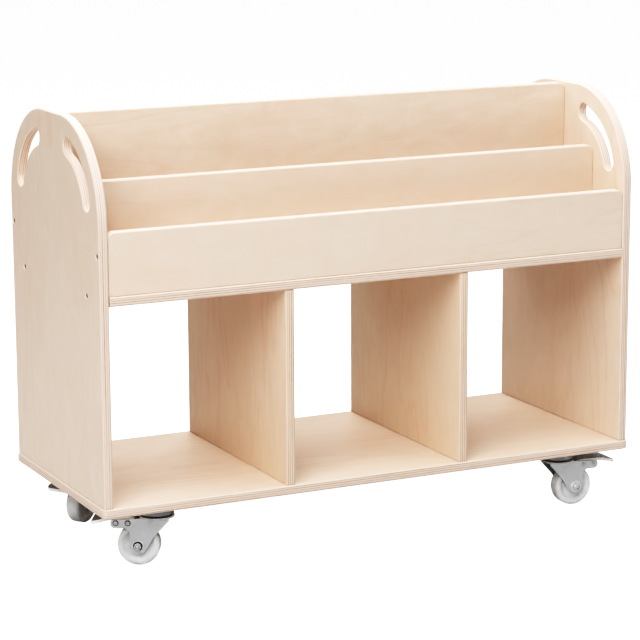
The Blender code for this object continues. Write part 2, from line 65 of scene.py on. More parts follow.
# Sizes of the caster's pieces, as in the solids, in metres
SEAT_GAP = 0.0003
RUN_GAP = 0.0004
WHEEL_WIDTH = 0.023
WHEEL_RIM = 0.0085
WHEEL_DISH = 0.003
TREAD_REACH = 0.032
HUB_RADIUS = 0.0095
HUB_WIDTH = 0.028
AXLE_RADIUS = 0.003
AXLE_HEAD_RADIUS = 0.0062
AXLE_HEAD_HEIGHT = 0.0036
AXLE_NUT_RADIUS = 0.0058
AXLE_NUT_HEIGHT = 0.005
AXLE_END = 0.002
FORK_STEEL = 0.0022
LEG_END_RADIUS = 0.0128
LEG_THROAT = 0.0165
BOSS_RADIUS = 0.0095
BOSS_HEIGHT = 0.0024
CROWN_RADIUS = 0.0275
CROWN_FOOT_RADIUS = 0.0150
CROWN_HEIGHT = 0.0078
CROWN_LIP = 0.003
RACE_RADIUS = 0.018
RACE_GAP = 0.0030
CUP_RADIUS = 0.0265
CUP_HEIGHT = 0.0102
PLATE_SIDE = 0.060
PLATE_CORNER = 0.007
PLATE_THICKNESS = 0.0025
PLATE_SCREW_INSET = 0.0080
KING_RADIUS = 0.005
KING_HEAD_RADIUS = 0.0085
KING_HEAD_HEIGHT = 0.0028
KING_TOP_HEIGHT = 0.0016
PIN_RADIUS = 0.0024
PIN_HEAD_RADIUS = 0.0034
PIN_HEAD_HEIGHT = 0.0010
PIN_SPACING = 0.018
ARM_END_RADIUS = 0.008
SHOE_LOW_ANGLE = radians(50)
SHOE_HIGH_ANGLE = radians(66)
SHOE_BACK = 0.0048
PEDAL_STEEL = 0.0016
PEDAL_RISE = 0.0078
PEDAL_LENGTH = 0.054
PEDAL_FLARE_WIDTH = 0.044
PEDAL_FLANGE = 0.0042
PEDAL_DROP = 0.005
CHEEK_LENGTH = 0.010
CHEEK_DEPTH = 0.0133

# Places of the caster's pieces from its swivel axis and the floor, read from the joints
SWIVEL = Vector(JOINTS["front_right_swivel_turn"]["pos_m"])
AXLE = Vector(JOINTS["front_right_wheel_roll"]["pos_m"])
PIN = Vector(JOINTS["front_right_brake_lift"]["pos_m"])
TRAIL = (AXLE - SWIVEL).xy.length
AXLE_Z = AXLE.z
WHEEL_RADIUS = AXLE_Z
PIN_X = (PIN - SWIVEL).xy.length
PIN_Z = PIN.z
STOP_X = PIN_X + PIN_SPACING
CROWN_TOP = SWIVEL.z
CROWN_LOW = CROWN_TOP - CROWN_HEIGHT
CUP_LOW = CROWN_TOP + RACE_GAP
PLATE_LOW = CUP_LOW + CUP_HEIGHT
PLATE_TOP = PLATE_LOW + PLATE_THICKNESS
LEG_Y = HUB_WIDTH / 2 + RUN_GAP + FORK_STEEL / 2
LEG_OUTSIDE = LEG_Y + FORK_STEEL / 2
PEDAL_INNER = HUB_WIDTH / 2 + RUN_GAP - SEAT_GAP - PEDAL_STEEL

# Rounds and small forms that only the dressed caster has
STEEL_EASE = 0.0005
WHEEL_EASE = 0.0006
TREAD_ROUND = 0.0046
BOSS_ROUND = 0.0016
GROOVE_ROUND = 0.0003
LEG_END_ROUND = LEG_END_RADIUS * 0.98
LEG_HEEL_ROUND = LEG_END_RADIUS * 0.7
LEG_SHOULDER = CROWN_RADIUS * 0.76
ARM_TIP_ROUND = ARM_END_RADIUS * 0.8
ARM_TOP_ROUND = ARM_END_RADIUS * 0.5
ARM_TOP_RISE = ARM_END_RADIUS * 0.55
SKIRT_DRAW = 0.0065
SKIRT_WIDTH = CROWN_RADIUS * 0.7
CUP_RIM = 0.0010
KING_EASE = 0.0004
KING_HEAD_EASE = 0.0006
KING_HEAD_ROUND = 0.0012
KING_HEAD_TOP = KING_HEAD_RADIUS * 0.8
PIN_EYE_RADIUS = PIN_RADIUS * 0.6
PIN_EYE_DEPTH = PIN_HEAD_HEIGHT * 1.6
PIN_EYE_EASE = 0.0002
PIN_EYE_ROUND = 0.0003
PIN_DIMPLE = 0.0010
PEDAL_TIP_ROUND = PEDAL_FLARE_WIDTH / 2 * 0.35
PEDAL_FOLD = PEDAL_STEEL * 0.9
SHOE_EASE = 0.0004
THREAD = 0.0005

# The nut's side of a fork, along the axle
NUT_SIDE = 1

# Screws through each side panel: (distance from the cart's middle, height)
PANEL_SCREWS = ((0.1765, 0.4790), (0.1320, 0.4145))
SCREW_ROOM = 0.0003
SCREW_HEAD_HEIGHT = 0.0026
SOCKET_DEPTH = 0.0018
SOCKET_SHARE = 0.55

# Painted light of metal faces, from -1, painted deep shade, to 1, painted highlight
# Painted highlight: faces mixed towards white, with less metal
PAINTED_HIGHLIGHT = 0.9
# Painted shade on the pedal's upward tread
PAINTED_TREAD_SHADE = -0.38
# Painted deep shade in the fork's recesses
PAINTED_RECESS_SHADE = -1.0

# Upward part of a face's normal from which the crown gets a painted highlight and the pedal a painted shade
CROWN_UP = 0.5
PEDAL_UP = 0.6

# Open joint seen where a board's cut end meets its neighbour, beyond the gap in the solids
OPEN_JOINT = 0.0003

# Fineness of the meshes
FACET_SAG = 0.00002
SMALL_SIDES = 40
ROUND_SIDES = 48
NUT_SIDES = 60
CUP_SIDES = 72
LARGE_SIDES = 96
CROWN_STEPS = 16
SKIRT_STEPS = 14
DOME_STEPS = 10
PEDAL_STEPS = 14
WELD = 1e-6
SNAP = 1e-7
SHARP = radians(32)

# Round soft lights: name in the settings, place and diameter in metres
LIGHTS = (
    ("key", (-2.0, -2.0, 3.0), 3.4),
    ("rear", (0.0, 1.5, 2.2), 2.2),
    ("overhead", (0.0, -0.2, 2.4), 1.6),
    ("left_fill", (-2.2, -2.4, 1.4), 2.6),
    ("right_fill", (1.6, -1.0, 2.2), 2.2),
)
LIT_POINT = Vector((0, 0, 0.4))
FLOOR_REACH = 60.0
FLOOR_DROP = 0.0004
FLOOR_WHITE = 0.70
FLOOR_GLOW = 0.95
SENSOR_WIDTH = 36.0
CURVE_STEPS = 10
COMBINED_CURVE = 3
WHITE = (1.0, 1.0, 1.0, 1.0)


def length(name, description, default, **limits):
    return FloatProperty(name=name, description=description, default=default, unit="LENGTH", **limits)


def angle(name, description, degrees):
    return FloatProperty(name=name, description=description, default=radians(degrees), subtype="ANGLE")


def colour(name, description, default):
    return FloatVectorProperty(name=name, description=description, default=default, subtype="COLOR", size=3)


def amount(name, description, default):
    return FloatProperty(name=name, description=description, default=default)


class BoardSettings(bpy.types.PropertyGroup):
    """Plywood of the cabinet."""

    edge_round: length("Edge round", "Radius of the eased edges", 0.0028, min=0.0005)
    veneer: length("Veneer", "Thickness of one layer of the plywood", 0.00161, min=0.0005)
    shoulder: length("Shoulder", "Radius of a side panel's upper corners", 0.148)
    slot_width: length("Slot width", "Width of a handle slot", 0.0265)
    slot_margin: length("Slot margin", "Wood between a slot and the panel's edge", 0.0285)
    slot_low: angle("Slot low end", "Angle of a slot's lower end", 17.5)
    slot_high: angle("Slot high end", "Angle of a slot's upper end", 76)
    board_corner: length("Board corner", "Radius of the trough boards' upper corners", 0.013)
    base_corner: length("Base corner", "Radius of the base board's corners", 0.008)
    pale: colour("Pale birch", "Colour of the open wood", (0.824, 0.70, 0.60))
    tan: colour("Tan birch", "Colour of the figure", (0.695, 0.525, 0.405))
    core: colour("Core", "Colour of the sanded edges", (0.815, 0.695, 0.617))
    end_grain: colour("End grain", "Colour of the crossed layers", (0.42, 0.26, 0.18))


class CasterSettings(bpy.types.PropertyGroup):
    """Metal, nylon and small pieces of the casters."""

    zinc: colour("Zinc", "Colour of the plated steel", (0.62, 0.63, 0.64))
    bright: colour("Bright steel", "Colour of bolts and balls", (0.60, 0.63, 0.64))
    nylon: colour("Nylon", "Colour of the wheels", (0.93, 0.94, 0.94))
    ball_count: IntProperty(name="Balls", description="Bearing balls in each ring", default=34, min=6)
    screw_head: length("Screw head", "Radius of the panel screws' heads", 0.0036)
    screw_sink: length("Screw sink", "Depth of the heads below the wood", 0.0016)


class StageSettings(bpy.types.PropertyGroup):
    """Floor, light and camera."""

    azimuth: angle("Azimuth", "Camera's turn about the cart", -26.165)
    elevation: angle("Elevation", "Camera's height angle", 11.754)
    roll: angle("Roll", "Camera's turn about its line of sight", -0.25)
    distance: length("Distance", "Camera to its target", 3.869)
    target: FloatVectorProperty(
        name="Target", description="Point the camera looks at",
        default=(-0.0073, 0.0, 0.3126), subtype="XYZ", size=3,
    )
    lens: amount("Lens", "Focal length in millimetres on a 36 mm sensor", 138.23)
    key: amount("Key", "Power in watts of the high soft light before the left end", 105.0)
    rear: amount("Rear", "Power in watts of the soft light above and behind", 43.0)
    overhead: amount("Overhead", "Power in watts of the soft light overhead", 15.4)
    left_fill: amount("Left fill", "Power in watts of the low soft light at the left", 8.3)
    right_fill: amount("Right fill", "Power in watts of the soft light above the right end", 19.3)
    sheen: amount("Sheen", "Strength of the white room that only reflections see", 0.5)
    contrast: amount("Contrast", "Steepness of the picture's tone curve", 2.397)
    shoulder: amount("Shoulder", "How late the tone curve bends to white", 0.135)


class CartSettings(bpy.types.PropertyGroup):
    """All settings of the cart."""

    boards: PointerProperty(type=BoardSettings)
    casters: PointerProperty(type=CasterSettings)
    stage: PointerProperty(type=StageSettings)


def settings():
    return bpy.context.scene.book_cart


# Mesh making


@contextmanager
def edited(mesh):
    """The mesh opened for editing, and written back at the end."""
    work = bmesh.new()
    work.from_mesh(mesh)
    yield work
    work.to_mesh(mesh)
    work.free()


def linked(name, data):
    obj = bpy.data.objects.new(name, data)
    bpy.context.scene.collection.objects.link(obj)
    return obj


def frozen(obj):
    """The finished mesh of an object, which is then removed."""
    bpy.context.view_layer.update()
    graph = bpy.context.evaluated_depsgraph_get()
    mesh = bpy.data.meshes.new_from_object(obj.evaluated_get(graph))
    bpy.data.objects.remove(obj)
    return mesh


def welded(mesh):
    with edited(mesh) as work:
        bmesh.ops.remove_doubles(work, verts=work.verts, dist=WELD)
        bmesh.ops.recalc_face_normals(work, faces=work.faces)
    return mesh


def smooth(mesh):
    mesh.shade_smooth()
    mesh.set_sharp_from_angle(angle=SHARP)
    return mesh


def cut_along(work, place, way, dist=SNAP, clear_outer=False):
    """Cuts an open mesh along a plane, and may clear what lies out on its way."""
    everything = work.verts[:] + work.edges[:] + work.faces[:]
    bmesh.ops.bisect_plane(
        work, geom=everything, dist=dist, plane_co=place, plane_no=way, clear_outer=clear_outer
    )


def arc(centre, radius, start, end):
    """Points along an arc, both ends included."""
    steps = max(2, ceil(abs(end - start) / (2 * acos(1 - FACET_SAG / radius))))
    turns = [start + (end - start) * i / steps for i in range(steps + 1)]
    return [(centre[0] + radius * cos(a), centre[1] + radius * sin(a)) for a in turns]


def rounded(corners):
    """The outline of a polygon whose corners, each (x, y, radius), are rounded by tangent arcs."""
    points = []
    for i, (x, y, radius) in enumerate(corners):
        here = Vector((x, y))
        if radius == 0:
            points.append((x, y))
            continue
        back = (Vector(corners[i - 1][:2]) - here).normalized()
        ahead = (Vector(corners[(i + 1) % len(corners)][:2]) - here).normalized()
        half = back.angle(ahead) / 2
        centre = here + (back + ahead).normalized() * (radius / sin(half))
        first = here + back * (radius / tan(half)) - centre
        last = here + ahead * (radius / tan(half)) - centre
        start = atan2(first.y, first.x)
        turn = (atan2(last.y, last.x) - start + pi) % (2 * pi) - pi
        points += arc(centre, radius, start, start + turn)
    return points


def both_ends(upper):
    """A closed profile of (radius, z, round) from its upper half, mirrored below."""
    return rounded(upper + [(r, -z, ease) for r, z, ease in reversed(upper)])


def sheet(outlines, thickness, ease=0.0, seats=()):
    """A flat mesh in the XY plane, centred on its thickness: the first outline less the others.

    Its edges are rounded by ease, and it is then cut square along its seats, each (axis, value, way out).
    """
    curve = bpy.data.curves.new("outline", "CURVE")
    curve.dimensions = "2D"
    curve.fill_mode = "BOTH"
    curve.extrude = thickness / 2 - ease
    curve.bevel_depth = ease
    curve.bevel_resolution = 3
    curve.offset = -ease
    for points in outlines:
        spline = curve.splines.new("POLY")
        spline.points.add(len(points) - 1)
        for point, (x, y) in zip(spline.points, points):
            point.co = (x, y, 0, 1)
        spline.use_cyclic_u = True
    mesh = welded(frozen(linked("outline", curve)))
    with edited(mesh) as work:
        for axis, value, way in seats:
            place, outward = Vector(), Vector()
            place[axis], outward[axis] = value - way * OPEN_JOINT, way
            cut_along(work, place, outward, clear_outer=True)
            bmesh.ops.holes_fill(work, edges=[edge for edge in work.edges if edge.is_boundary])
        bmesh.ops.recalc_face_normals(work, faces=work.faces)
    return smooth(mesh)


def turned(profile, sides=ROUND_SIDES):
    """A solid of revolution about Z from a closed profile of (radius, z), listed down its outer side."""
    mesh = bpy.data.meshes.new("turned")
    count = len(profile)
    edges = [(i, (i + 1) % count) for i in range(count) if profile[i][0] or profile[(i + 1) % count][0]]
    mesh.from_pydata([(r, 0, z) for r, z in profile], edges, [])
    obj = linked("turned", mesh)
    screw = obj.modifiers.new("turn", "SCREW")
    screw.steps = sides
    screw.render_steps = sides
    screw.use_merge_vertices = True
    screw.merge_threshold = WELD
    return smooth(welded(frozen(obj)))


def moved(mesh, location=(0, 0, 0), rotation=(0, 0, 0)):
    """The mesh with its place applied: turned about X, then about Z, then shifted."""
    turn = Matrix.Rotation(rotation[2], 4, "Z") @ Matrix.Rotation(rotation[0], 4, "X")
    mesh.transform(Matrix.Translation(location) @ turn)
    return mesh


def combined(mesh, steps):
    """The mesh after a row of Booleans, each (operation, mesh)."""
    obj = linked("work", mesh)
    tools = []
    for operation, tool in steps:
        tools.append(linked("tool", tool))
        change = obj.modifiers.new("step", "BOOLEAN")
        change.operation = operation
        change.solver = "EXACT"
        change.object = tools[-1]
    result = frozen(obj)
    for tool in tools:
        bpy.data.objects.remove(tool)
    return smooth(welded(result))


def bore_cutter(radius, depth):
    mesh = bpy.data.meshes.new("bore")
    with edited(mesh) as work:
        bmesh.ops.create_cone(
            work, cap_ends=True, segments=ROUND_SIDES, radius1=radius, radius2=radius, depth=depth
        )
    return mesh


def across(radius, depth, x, z):
    """A cutter along the axle's way through (x, z)."""
    return moved(bore_cutter(radius, depth), (x, 0, z), (pi / 2, 0, 0))


def with_even_normals(mesh):
    """The mesh with its flats shaded flat and its rounds shaded smooth."""
    obj = linked("even", mesh)
    normals = obj.modifiers.new("even", "WEIGHTED_NORMAL")
    normals.keep_sharp = True
    return frozen(obj)


def piece(name, mesh, material, body, slot, *nodes):
    """A finished piece that rides on a body and stands for CAD nodes."""
    mesh.materials.clear()
    mesh.materials.append(material)
    mesh.name = name
    obj = linked(name, mesh)
    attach(obj, body)
    if nodes:
        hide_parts(*nodes)
    return obj


# Node making


def add(tree, kind, values=None, **options):
    """A node with its options and inputs set; a socket given as a value is linked."""
    made = tree.nodes.new(kind)
    for key, value in options.items():
        setattr(made, key, value)
    for key, value in (values or {}).items():
        put(tree, made.inputs[key], value)
    return made


def put(tree, socket, value):
    if isinstance(value, bpy.types.NodeSocket):
        tree.links.new(value, socket)
    else:
        socket.default_value = value


def maths(tree, operation, first, second=0.0, third=0.0):
    return add(tree, "ShaderNodeMath", {0: first, 1: second, 2: third}, operation=operation).outputs[0]


def mapped(tree, value, low, high, to_low=0.0, to_high=1.0, smoothly=False):
    kind = "SMOOTHSTEP" if smoothly else "LINEAR"
    values = {"Value": value, "From Min": low, "From Max": high, "To Min": to_low, "To Max": to_high}
    return add(tree, "ShaderNodeMapRange", values, interpolation_type=kind, clamp=True).outputs[0]


def mixed(tree, factor, first, second, blend="MIX"):
    made = add(tree, "ShaderNodeMix", data_type="RGBA", blend_type=blend, clamp_factor=True)
    colours = [socket for socket in made.inputs if socket.type == "RGBA"]
    for socket, value in zip([made.inputs[0]] + colours, (factor, first, second)):
        put(tree, socket, value)
    return next(socket for socket in made.outputs if socket.type == "RGBA")


def noise(tree, vector, scale=1.0, detail=2.0, roughness=0.5, distortion=0.0):
    values = {
        "Vector": vector, "Scale": scale, "Detail": detail, "Roughness": roughness, "Distortion": distortion,
    }
    return add(tree, "ShaderNodeTexNoise", values).outputs["Fac"]


def vector_maths(tree, operation, first, second):
    return add(tree, "ShaderNodeVectorMath", {0: first, 1: second}, operation=operation).outputs[0]


def seeded(tree, position, seed):
    """The position, shifted by a seed."""
    shift = add(tree, "ShaderNodeCombineXYZ", {axis: seed for axis in "XYZ"}).outputs[0]
    return vector_maths(tree, "ADD", position, shift)


def new_group(name, kind, inputs, outputs):
    """An empty node group with its sockets, its input node's outputs and its output node's inputs."""
    tree = bpy.data.node_groups.new(name, kind)
    for way, sockets in (("INPUT", inputs), ("OUTPUT", outputs)):
        for socket, data in sockets.items():
            tree.interface.new_socket(socket, in_out=way, socket_type="NodeSocket" + data)
    return tree, tree.nodes.new("NodeGroupInput").outputs, tree.nodes.new("NodeGroupOutput").inputs


def give(tree, result, **values):
    """Links values to a group's outputs."""
    for key, value in values.items():
        tree.links.new(value, result[key])


def plywood_layers():
    """Birch plywood through and through: X along the grain, Z through the thickness from its middle."""
    tree, given, result = new_group(
        "Plywood Layers",
        "ShaderNodeTree",
        {
            "Position": "Vector",
            "Half Thickness": "Float",
            "Veneer": "Float",
            "Pale": "Color",
            "Tan": "Color",
            "Core": "Color",
            "End Grain": "Color",
            "Figure": "Float",
            "Seed": "Float",
        },
        {"Color": "Color", "Roughness": "Float", "Height": "Float"},
    )
    face_veneer = 0.00005
    layer_drift = 0.37
    ring_count = 52.0
    blushed = (1.02, 0.965, 0.975, 1.0)
    glue_brown = (0.25, 0.14, 0.08, 1.0)

    # Which layer a point lies in, and where each layer's figure is read
    axes = add(tree, "ShaderNodeSeparateXYZ", {0: given["Position"]}).outputs
    inset = maths(tree, "SUBTRACT", given["Half Thickness"], maths(tree, "ABSOLUTE", axes["Z"]))
    inset = maths(tree, "ADD", inset, face_veneer)
    layers = maths(tree, "DIVIDE", inset, given["Veneer"])
    layer = maths(tree, "FLOOR", layers)
    within = maths(tree, "SUBTRACT", layers, layer)
    crossed = maths(tree, "MODULO", layer, 2.0)
    drift = maths(tree, "MULTIPLY", layer, maths(tree, "SIGN", axes["Z"]))
    drift = maths(tree, "MULTIPLY_ADD", drift, layer_drift, given["Seed"])
    at = add(tree, "ShaderNodeCombineXYZ", {"X": axes["X"], "Y": axes["Y"], "Z": drift}).outputs[0]

    def figure(along, over, through=1.0, **looks):
        return noise(tree, vector_maths(tree, "MULTIPLY", at, (along, over, through)), **looks)

    # Figure of the open face
    cloud = figure(along=5.0, over=12.0, detail=4.0, roughness=0.6, distortion=0.6)
    mottle = figure(along=14.0, over=24.0, detail=4.0, roughness=0.6, distortion=1.6)
    rings = figure(along=1.6, over=9.0, distortion=0.9)
    rings = maths(tree, "SINE", maths(tree, "MULTIPLY", rings, ring_count))
    rings = mapped(tree, rings, 0.62, 1.0, smoothly=True)
    patches = mapped(tree, figure(along=1.1, over=3.0), 0.42, 0.66, smoothly=True)
    streaks = figure(along=7.0, over=230.0, detail=3.0, roughness=0.6)
    pores = mapped(tree, figure(along=55.0, over=1900.0, detail=1.0), 0.60, 0.74)
    tone = 0.0
    for mask, share in (
        (mapped(tree, cloud, 0.30, 0.72), 0.26),
        (mapped(tree, mottle, 0.32, 0.68), 0.30),
        (maths(tree, "MULTIPLY", rings, patches), 0.34),
        (mapped(tree, streaks, 0.35, 0.7), 0.04),
        (pores, 0.03),
    ):
        tone = maths(tree, "MULTIPLY_ADD", mask, share, tone)
    tone = maths(tree, "MULTIPLY", tone, given["Figure"])
    open_wood = mixed(tree, tone, given["Pale"], given["Tan"])
    blush = mapped(tree, figure(along=7.0, over=9.0, detail=3.0), 0.48, 0.68, to_high=0.5, smoothly=True)
    open_wood = mixed(tree, blush, open_wood, mixed(tree, 1.0, open_wood, blushed, "MULTIPLY"))

    # Sanded core, crossed layers and glue lines of the cut edges
    fibre = figure(along=160.0, over=700.0)
    crossed_wood = mixed(tree, mapped(tree, fibre, 0.3, 0.7, 0.55, 0.9), given["Tan"], given["End Grain"])
    sanded = mapped(tree, inset, 0.0005, 0.0012, to_high=0.85, smoothly=True)
    wood = mixed(tree, sanded, open_wood, given["Core"])
    off_middle = maths(tree, "ABSOLUTE", maths(tree, "SUBTRACT", within, 0.5))
    band = maths(tree, "MULTIPLY", crossed, mapped(tree, off_middle, 0.22, 0.48, 1.0, 0.0, smoothly=True))
    uneven = mapped(tree, figure(along=3.0, over=3.0, through=260.0), 0.35, 0.65, 0.25, 0.85)
    wood = mixed(tree, maths(tree, "MULTIPLY", band, uneven), wood, crossed_wood)
    seam = maths(tree, "MINIMUM", within, maths(tree, "SUBTRACT", 1.0, within))
    seam = mapped(tree, seam, 0.0, 0.16, 1.0, 0.0, smoothly=True)
    seam = maths(tree, "MULTIPLY", seam, maths(tree, "GREATER_THAN", inset, 0.0007))
    glue = mixed(tree, 0.5, given["End Grain"], glue_brown)
    wood = mixed(tree, maths(tree, "MULTIPLY", seam, 0.22), wood, glue)

    matt = maths(tree, "MULTIPLY_ADD", streaks, 0.16, 0.36)
    matt = maths(tree, "MULTIPLY_ADD", crossed, 0.14, matt)
    height = maths(tree, "MULTIPLY_ADD", pores, -0.5, maths(tree, "MULTIPLY", streaks, 0.6))
    height = maths(tree, "MULTIPLY_ADD", seam, -0.4, height)
    give(tree, result, Color=wood, Roughness=matt, Height=height)
    return tree


def plated_finish():
    """Zinc plate: a faint spangle, fine drawing marks, rubbed spots, and painted highlights and painted shade
    marked per face.
    """
    tree, given, result = new_group(
        "Plated Finish",
        "ShaderNodeTree",
        {"Position": "Vector", "Base": "Color", "Gloss": "Float", "Wear": "Float", "Seed": "Float"},
        {"Color": "Color", "Roughness": "Float", "Metallic": "Float", "Specular": "Float", "Height": "Float"},
    )
    metal = 0.55
    dull_grey = (0.30, 0.30, 0.31, 1.0)
    rubbed_grey = (0.86, 0.87, 0.87, 1.0)
    painted_highlight_white = (0.96, 0.96, 0.96, 1.0)
    painted_shade_black = (0.03, 0.03, 0.03, 1.0)
    at = seeded(tree, given["Position"], given["Seed"])
    spangle = noise(tree, at, scale=210.0, detail=3.0, roughness=0.6, distortion=0.5)
    marks = noise(tree, vector_maths(tree, "MULTIPLY", at, (900.0, 900.0, 60.0)))
    spots = noise(tree, at, scale=55.0, detail=4.0, roughness=0.65)
    rubbed = mapped(tree, spots, 0.52, 0.68, smoothly=True)
    dull = mixed(tree, 0.35, given["Base"], dull_grey)
    shade = mixed(tree, mapped(tree, spangle, 0.3, 0.75, to_high=0.3), given["Base"], dull)
    shade = mixed(tree, maths(tree, "MULTIPLY", rubbed, 0.12), shade, rubbed_grey)
    # Painted highlight: faces marked above zero are mixed towards white
    shade = mixed(tree, given["Wear"], shade, painted_highlight_white)
    # Painted shade: faces marked below zero are mixed towards black and lose their specular
    painted_shade_share = mapped(tree, given["Wear"], -1.0, 0.0, 1.0, 0.0)
    shade = mixed(tree, painted_shade_share, shade, painted_shade_black)
    # Faces with painted light lose metal, so that the painted white and black show
    unpainted_share = maths(tree, "SUBTRACT", 1.0, maths(tree, "ABSOLUTE", given["Wear"]))
    matt = maths(tree, "MULTIPLY_ADD", spangle, 0.24, given["Gloss"])
    matt = maths(tree, "MULTIPLY_ADD", rubbed, -0.06, matt)
    give(
        tree, result, Color=shade, Roughness=matt,
        Metallic=maths(tree, "MULTIPLY", unpainted_share, metal),
        Specular=mapped(tree, painted_shade_share, 0.0, 0.6, 0.5, 0.0),
        Height=maths(tree, "MULTIPLY_ADD", marks, 0.5, spangle),
    )
    return tree


def moulded_finish():
    """Moulded nylon: a cloudy body, fine moulding grain and grey scuffs."""
    tree, given, result = new_group(
        "Moulded Finish",
        "ShaderNodeTree",
        {"Position": "Vector", "Base": "Color", "Scuff": "Color", "Seed": "Float"},
        {"Color": "Color", "Roughness": "Float", "Height": "Float"},
    )
    at = seeded(tree, given["Position"], given["Seed"])
    cloud = mapped(tree, noise(tree, at, scale=70.0), 0.3, 0.7, to_high=0.35)
    rubs = noise(tree, at, scale=160.0, detail=5.0, roughness=0.7, distortion=1.2)
    scuffs = mapped(tree, rubs, 0.60, 0.74, to_high=0.4, smoothly=True)
    shade = mixed(tree, maths(tree, "MAXIMUM", cloud, scuffs), given["Base"], given["Scuff"])
    give(
        tree, result, Color=shade,
        Roughness=maths(tree, "MULTIPLY_ADD", scuffs, 0.3, 0.38),
        Height=noise(tree, at, scale=1500.0, detail=1.0),
    )
    return tree


# Materials

BUMP_STRENGTH = 0.6


def object_position(tree):
    return add(tree, "ShaderNodeTexCoord").outputs["Object"]


def group_material(name, group, make, values, bump, position=object_position, **constants):
    """A material whose Principled BSDF takes its colour, roughness and bump from a shared group."""
    material = bpy.data.materials.new(name)
    material.use_nodes = True
    own = material.node_tree
    shader = own.nodes["Principled BSDF"].inputs
    for key, value in constants.items():
        shader[key.replace("_", " ")].default_value = value
    shared = bpy.data.node_groups.get(group) or make()
    made = add(own, "ShaderNodeGroup", node_tree=shared)
    for key, value in {"Position": position(own), **values}.items():
        put(own, made.inputs[key], value)
    own.links.new(made.outputs["Color"], shader["Base Color"])
    own.links.new(made.outputs["Roughness"], shader["Roughness"])
    bumps = {"Height": made.outputs["Height"], "Distance": bump, "Strength": BUMP_STRENGTH}
    lift = add(own, "ShaderNodeBump", bumps)
    own.links.new(lift.outputs["Normal"], shader["Normal"])
    return material


def opaque(values):
    return (*values, 1.0)


def birch(node, centre, turn, thickness, seed, figure, shade=(1.0, 1.0, 1.0)):
    """Plywood for one board: turn is the Euler that lays the grain along X and the thickness along Z."""
    boards = settings().boards

    def position(tree):
        values = {"Vector": object_position(tree), "Location": centre}
        centred = add(tree, "ShaderNodeMapping", values, vector_type="TEXTURE").outputs[0]
        values = {"Vector": centred, "Rotation": turn}
        return add(tree, "ShaderNodeMapping", values, vector_type="POINT").outputs[0]

    def shaded(tint):
        return opaque(part * dim for part, dim in zip(tint, shade))

    values = {
        "Half Thickness": thickness / 2,
        "Veneer": boards.veneer,
        "Pale": shaded(boards.pale),
        "Tan": shaded(boards.tan),
        "Core": shaded(boards.core),
        "End Grain": opaque(boards.end_grain),
        "Figure": figure,
        "Seed": seed,
    }
    return group_material(
        f"birch_{node}", "Plywood Layers", plywood_layers, values, bump=0.00004, position=position,
        Specular_IOR_Level=0.3,
    )


def plated(name, base, gloss, seed):
    """Plated steel whose faces may be marked with painted highlight and painted shade in a per-face
    attribute.
    """
    made = bpy.data.materials.get(name)
    if made:
        return made
    values = {"Base": opaque(base), "Gloss": gloss, "Seed": seed}
    made = group_material(name, "Plated Finish", plated_finish, values, bump=0.00001)
    own = made.node_tree
    group = next(node for node in own.nodes if node.type == "GROUP")
    # Reads the per-face painted light, highlight or shade, that the pieces store
    wear = add(own, "ShaderNodeAttribute", attribute_name="wear").outputs["Fac"]
    own.links.new(wear, group.inputs["Wear"])
    shader = own.nodes["Principled BSDF"].inputs
    own.links.new(group.outputs["Metallic"], shader["Metallic"])
    own.links.new(group.outputs["Specular"], shader["Specular IOR Level"])
    return made


def moulded(name, base, scuff, seed, **constants):
    values = {"Base": opaque(base), "Scuff": opaque(scuff), "Seed": seed}
    return group_material(name, "Moulded Finish", moulded_finish, values, bump=0.00002, **constants)


def zinc():
    return plated("fork_plating", settings().casters.zinc, gloss=0.24, seed=3.1)


def pedal_zinc():
    return plated("pedal_plating", settings().casters.zinc, gloss=0.18, seed=8.4)


# Painted shade: the zinc at half brightness, for the plates and cups that sit in the base's shadow
def shaded_cup_zinc():
    return plated("cup_plating", [0.5 * part for part in settings().casters.zinc], gloss=0.24, seed=4.2)


def bright_steel():
    return plated("bright_plating", settings().casters.bright, gloss=0.16, seed=5.7)


# Painted shade: near-black screw steel, so that the sunk screws read as dark recesses
def shaded_screw_steel():
    return plated("screw_plating", (0.10, 0.09, 0.085), gloss=0.3, seed=6.6)


def white_nylon():
    return moulded(
        "wheel_nylon", settings().casters.nylon, scuff=(0.52, 0.52, 0.51), seed=1.3,
        Subsurface_Weight=0.3, Subsurface_Radius=(1.0, 1.0, 1.0), Subsurface_Scale=0.003,
    )


def grey_nylon():
    return moulded("shoe_nylon", (0.08, 0.08, 0.08), scuff=(0.2, 0.2, 0.2), seed=2.6)


# Plywood pieces

FLAT_TURN = (0, 0, 0)
FACING_FRONT_TURN = (pi / 2, 0, 0)
UPRIGHT_TURN = (0, pi / 2, 0)
UPRIGHT_LAY = (pi / 2, 0, pi / 2)


def middle(node):
    low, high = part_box(node)
    return (low + high) / 2, high - low


def overlap():
    """How far an outline is drawn past a seat, so that the cut there is square."""
    return 4 * settings().boards.edge_round


def board(node, mesh, material):
    piece(node + "_wood", with_even_normals(mesh), material, CABINET, "birch_plywood", node)


def standing(half, top, top_round, thickness, seats=(), slots=()):
    """An upright board in the XY plane, cut square at its foot and at its seats, with a rounded top."""
    over = overlap()
    foot = [(-half, -over, over / 2), (half, -over, over / 2)]
    outline = rounded(foot + [(half, top, top_round), (-half, top, top_round)])
    return sheet([outline, *slots], thickness, settings().boards.edge_round, [(1, 0, -1), *seats])


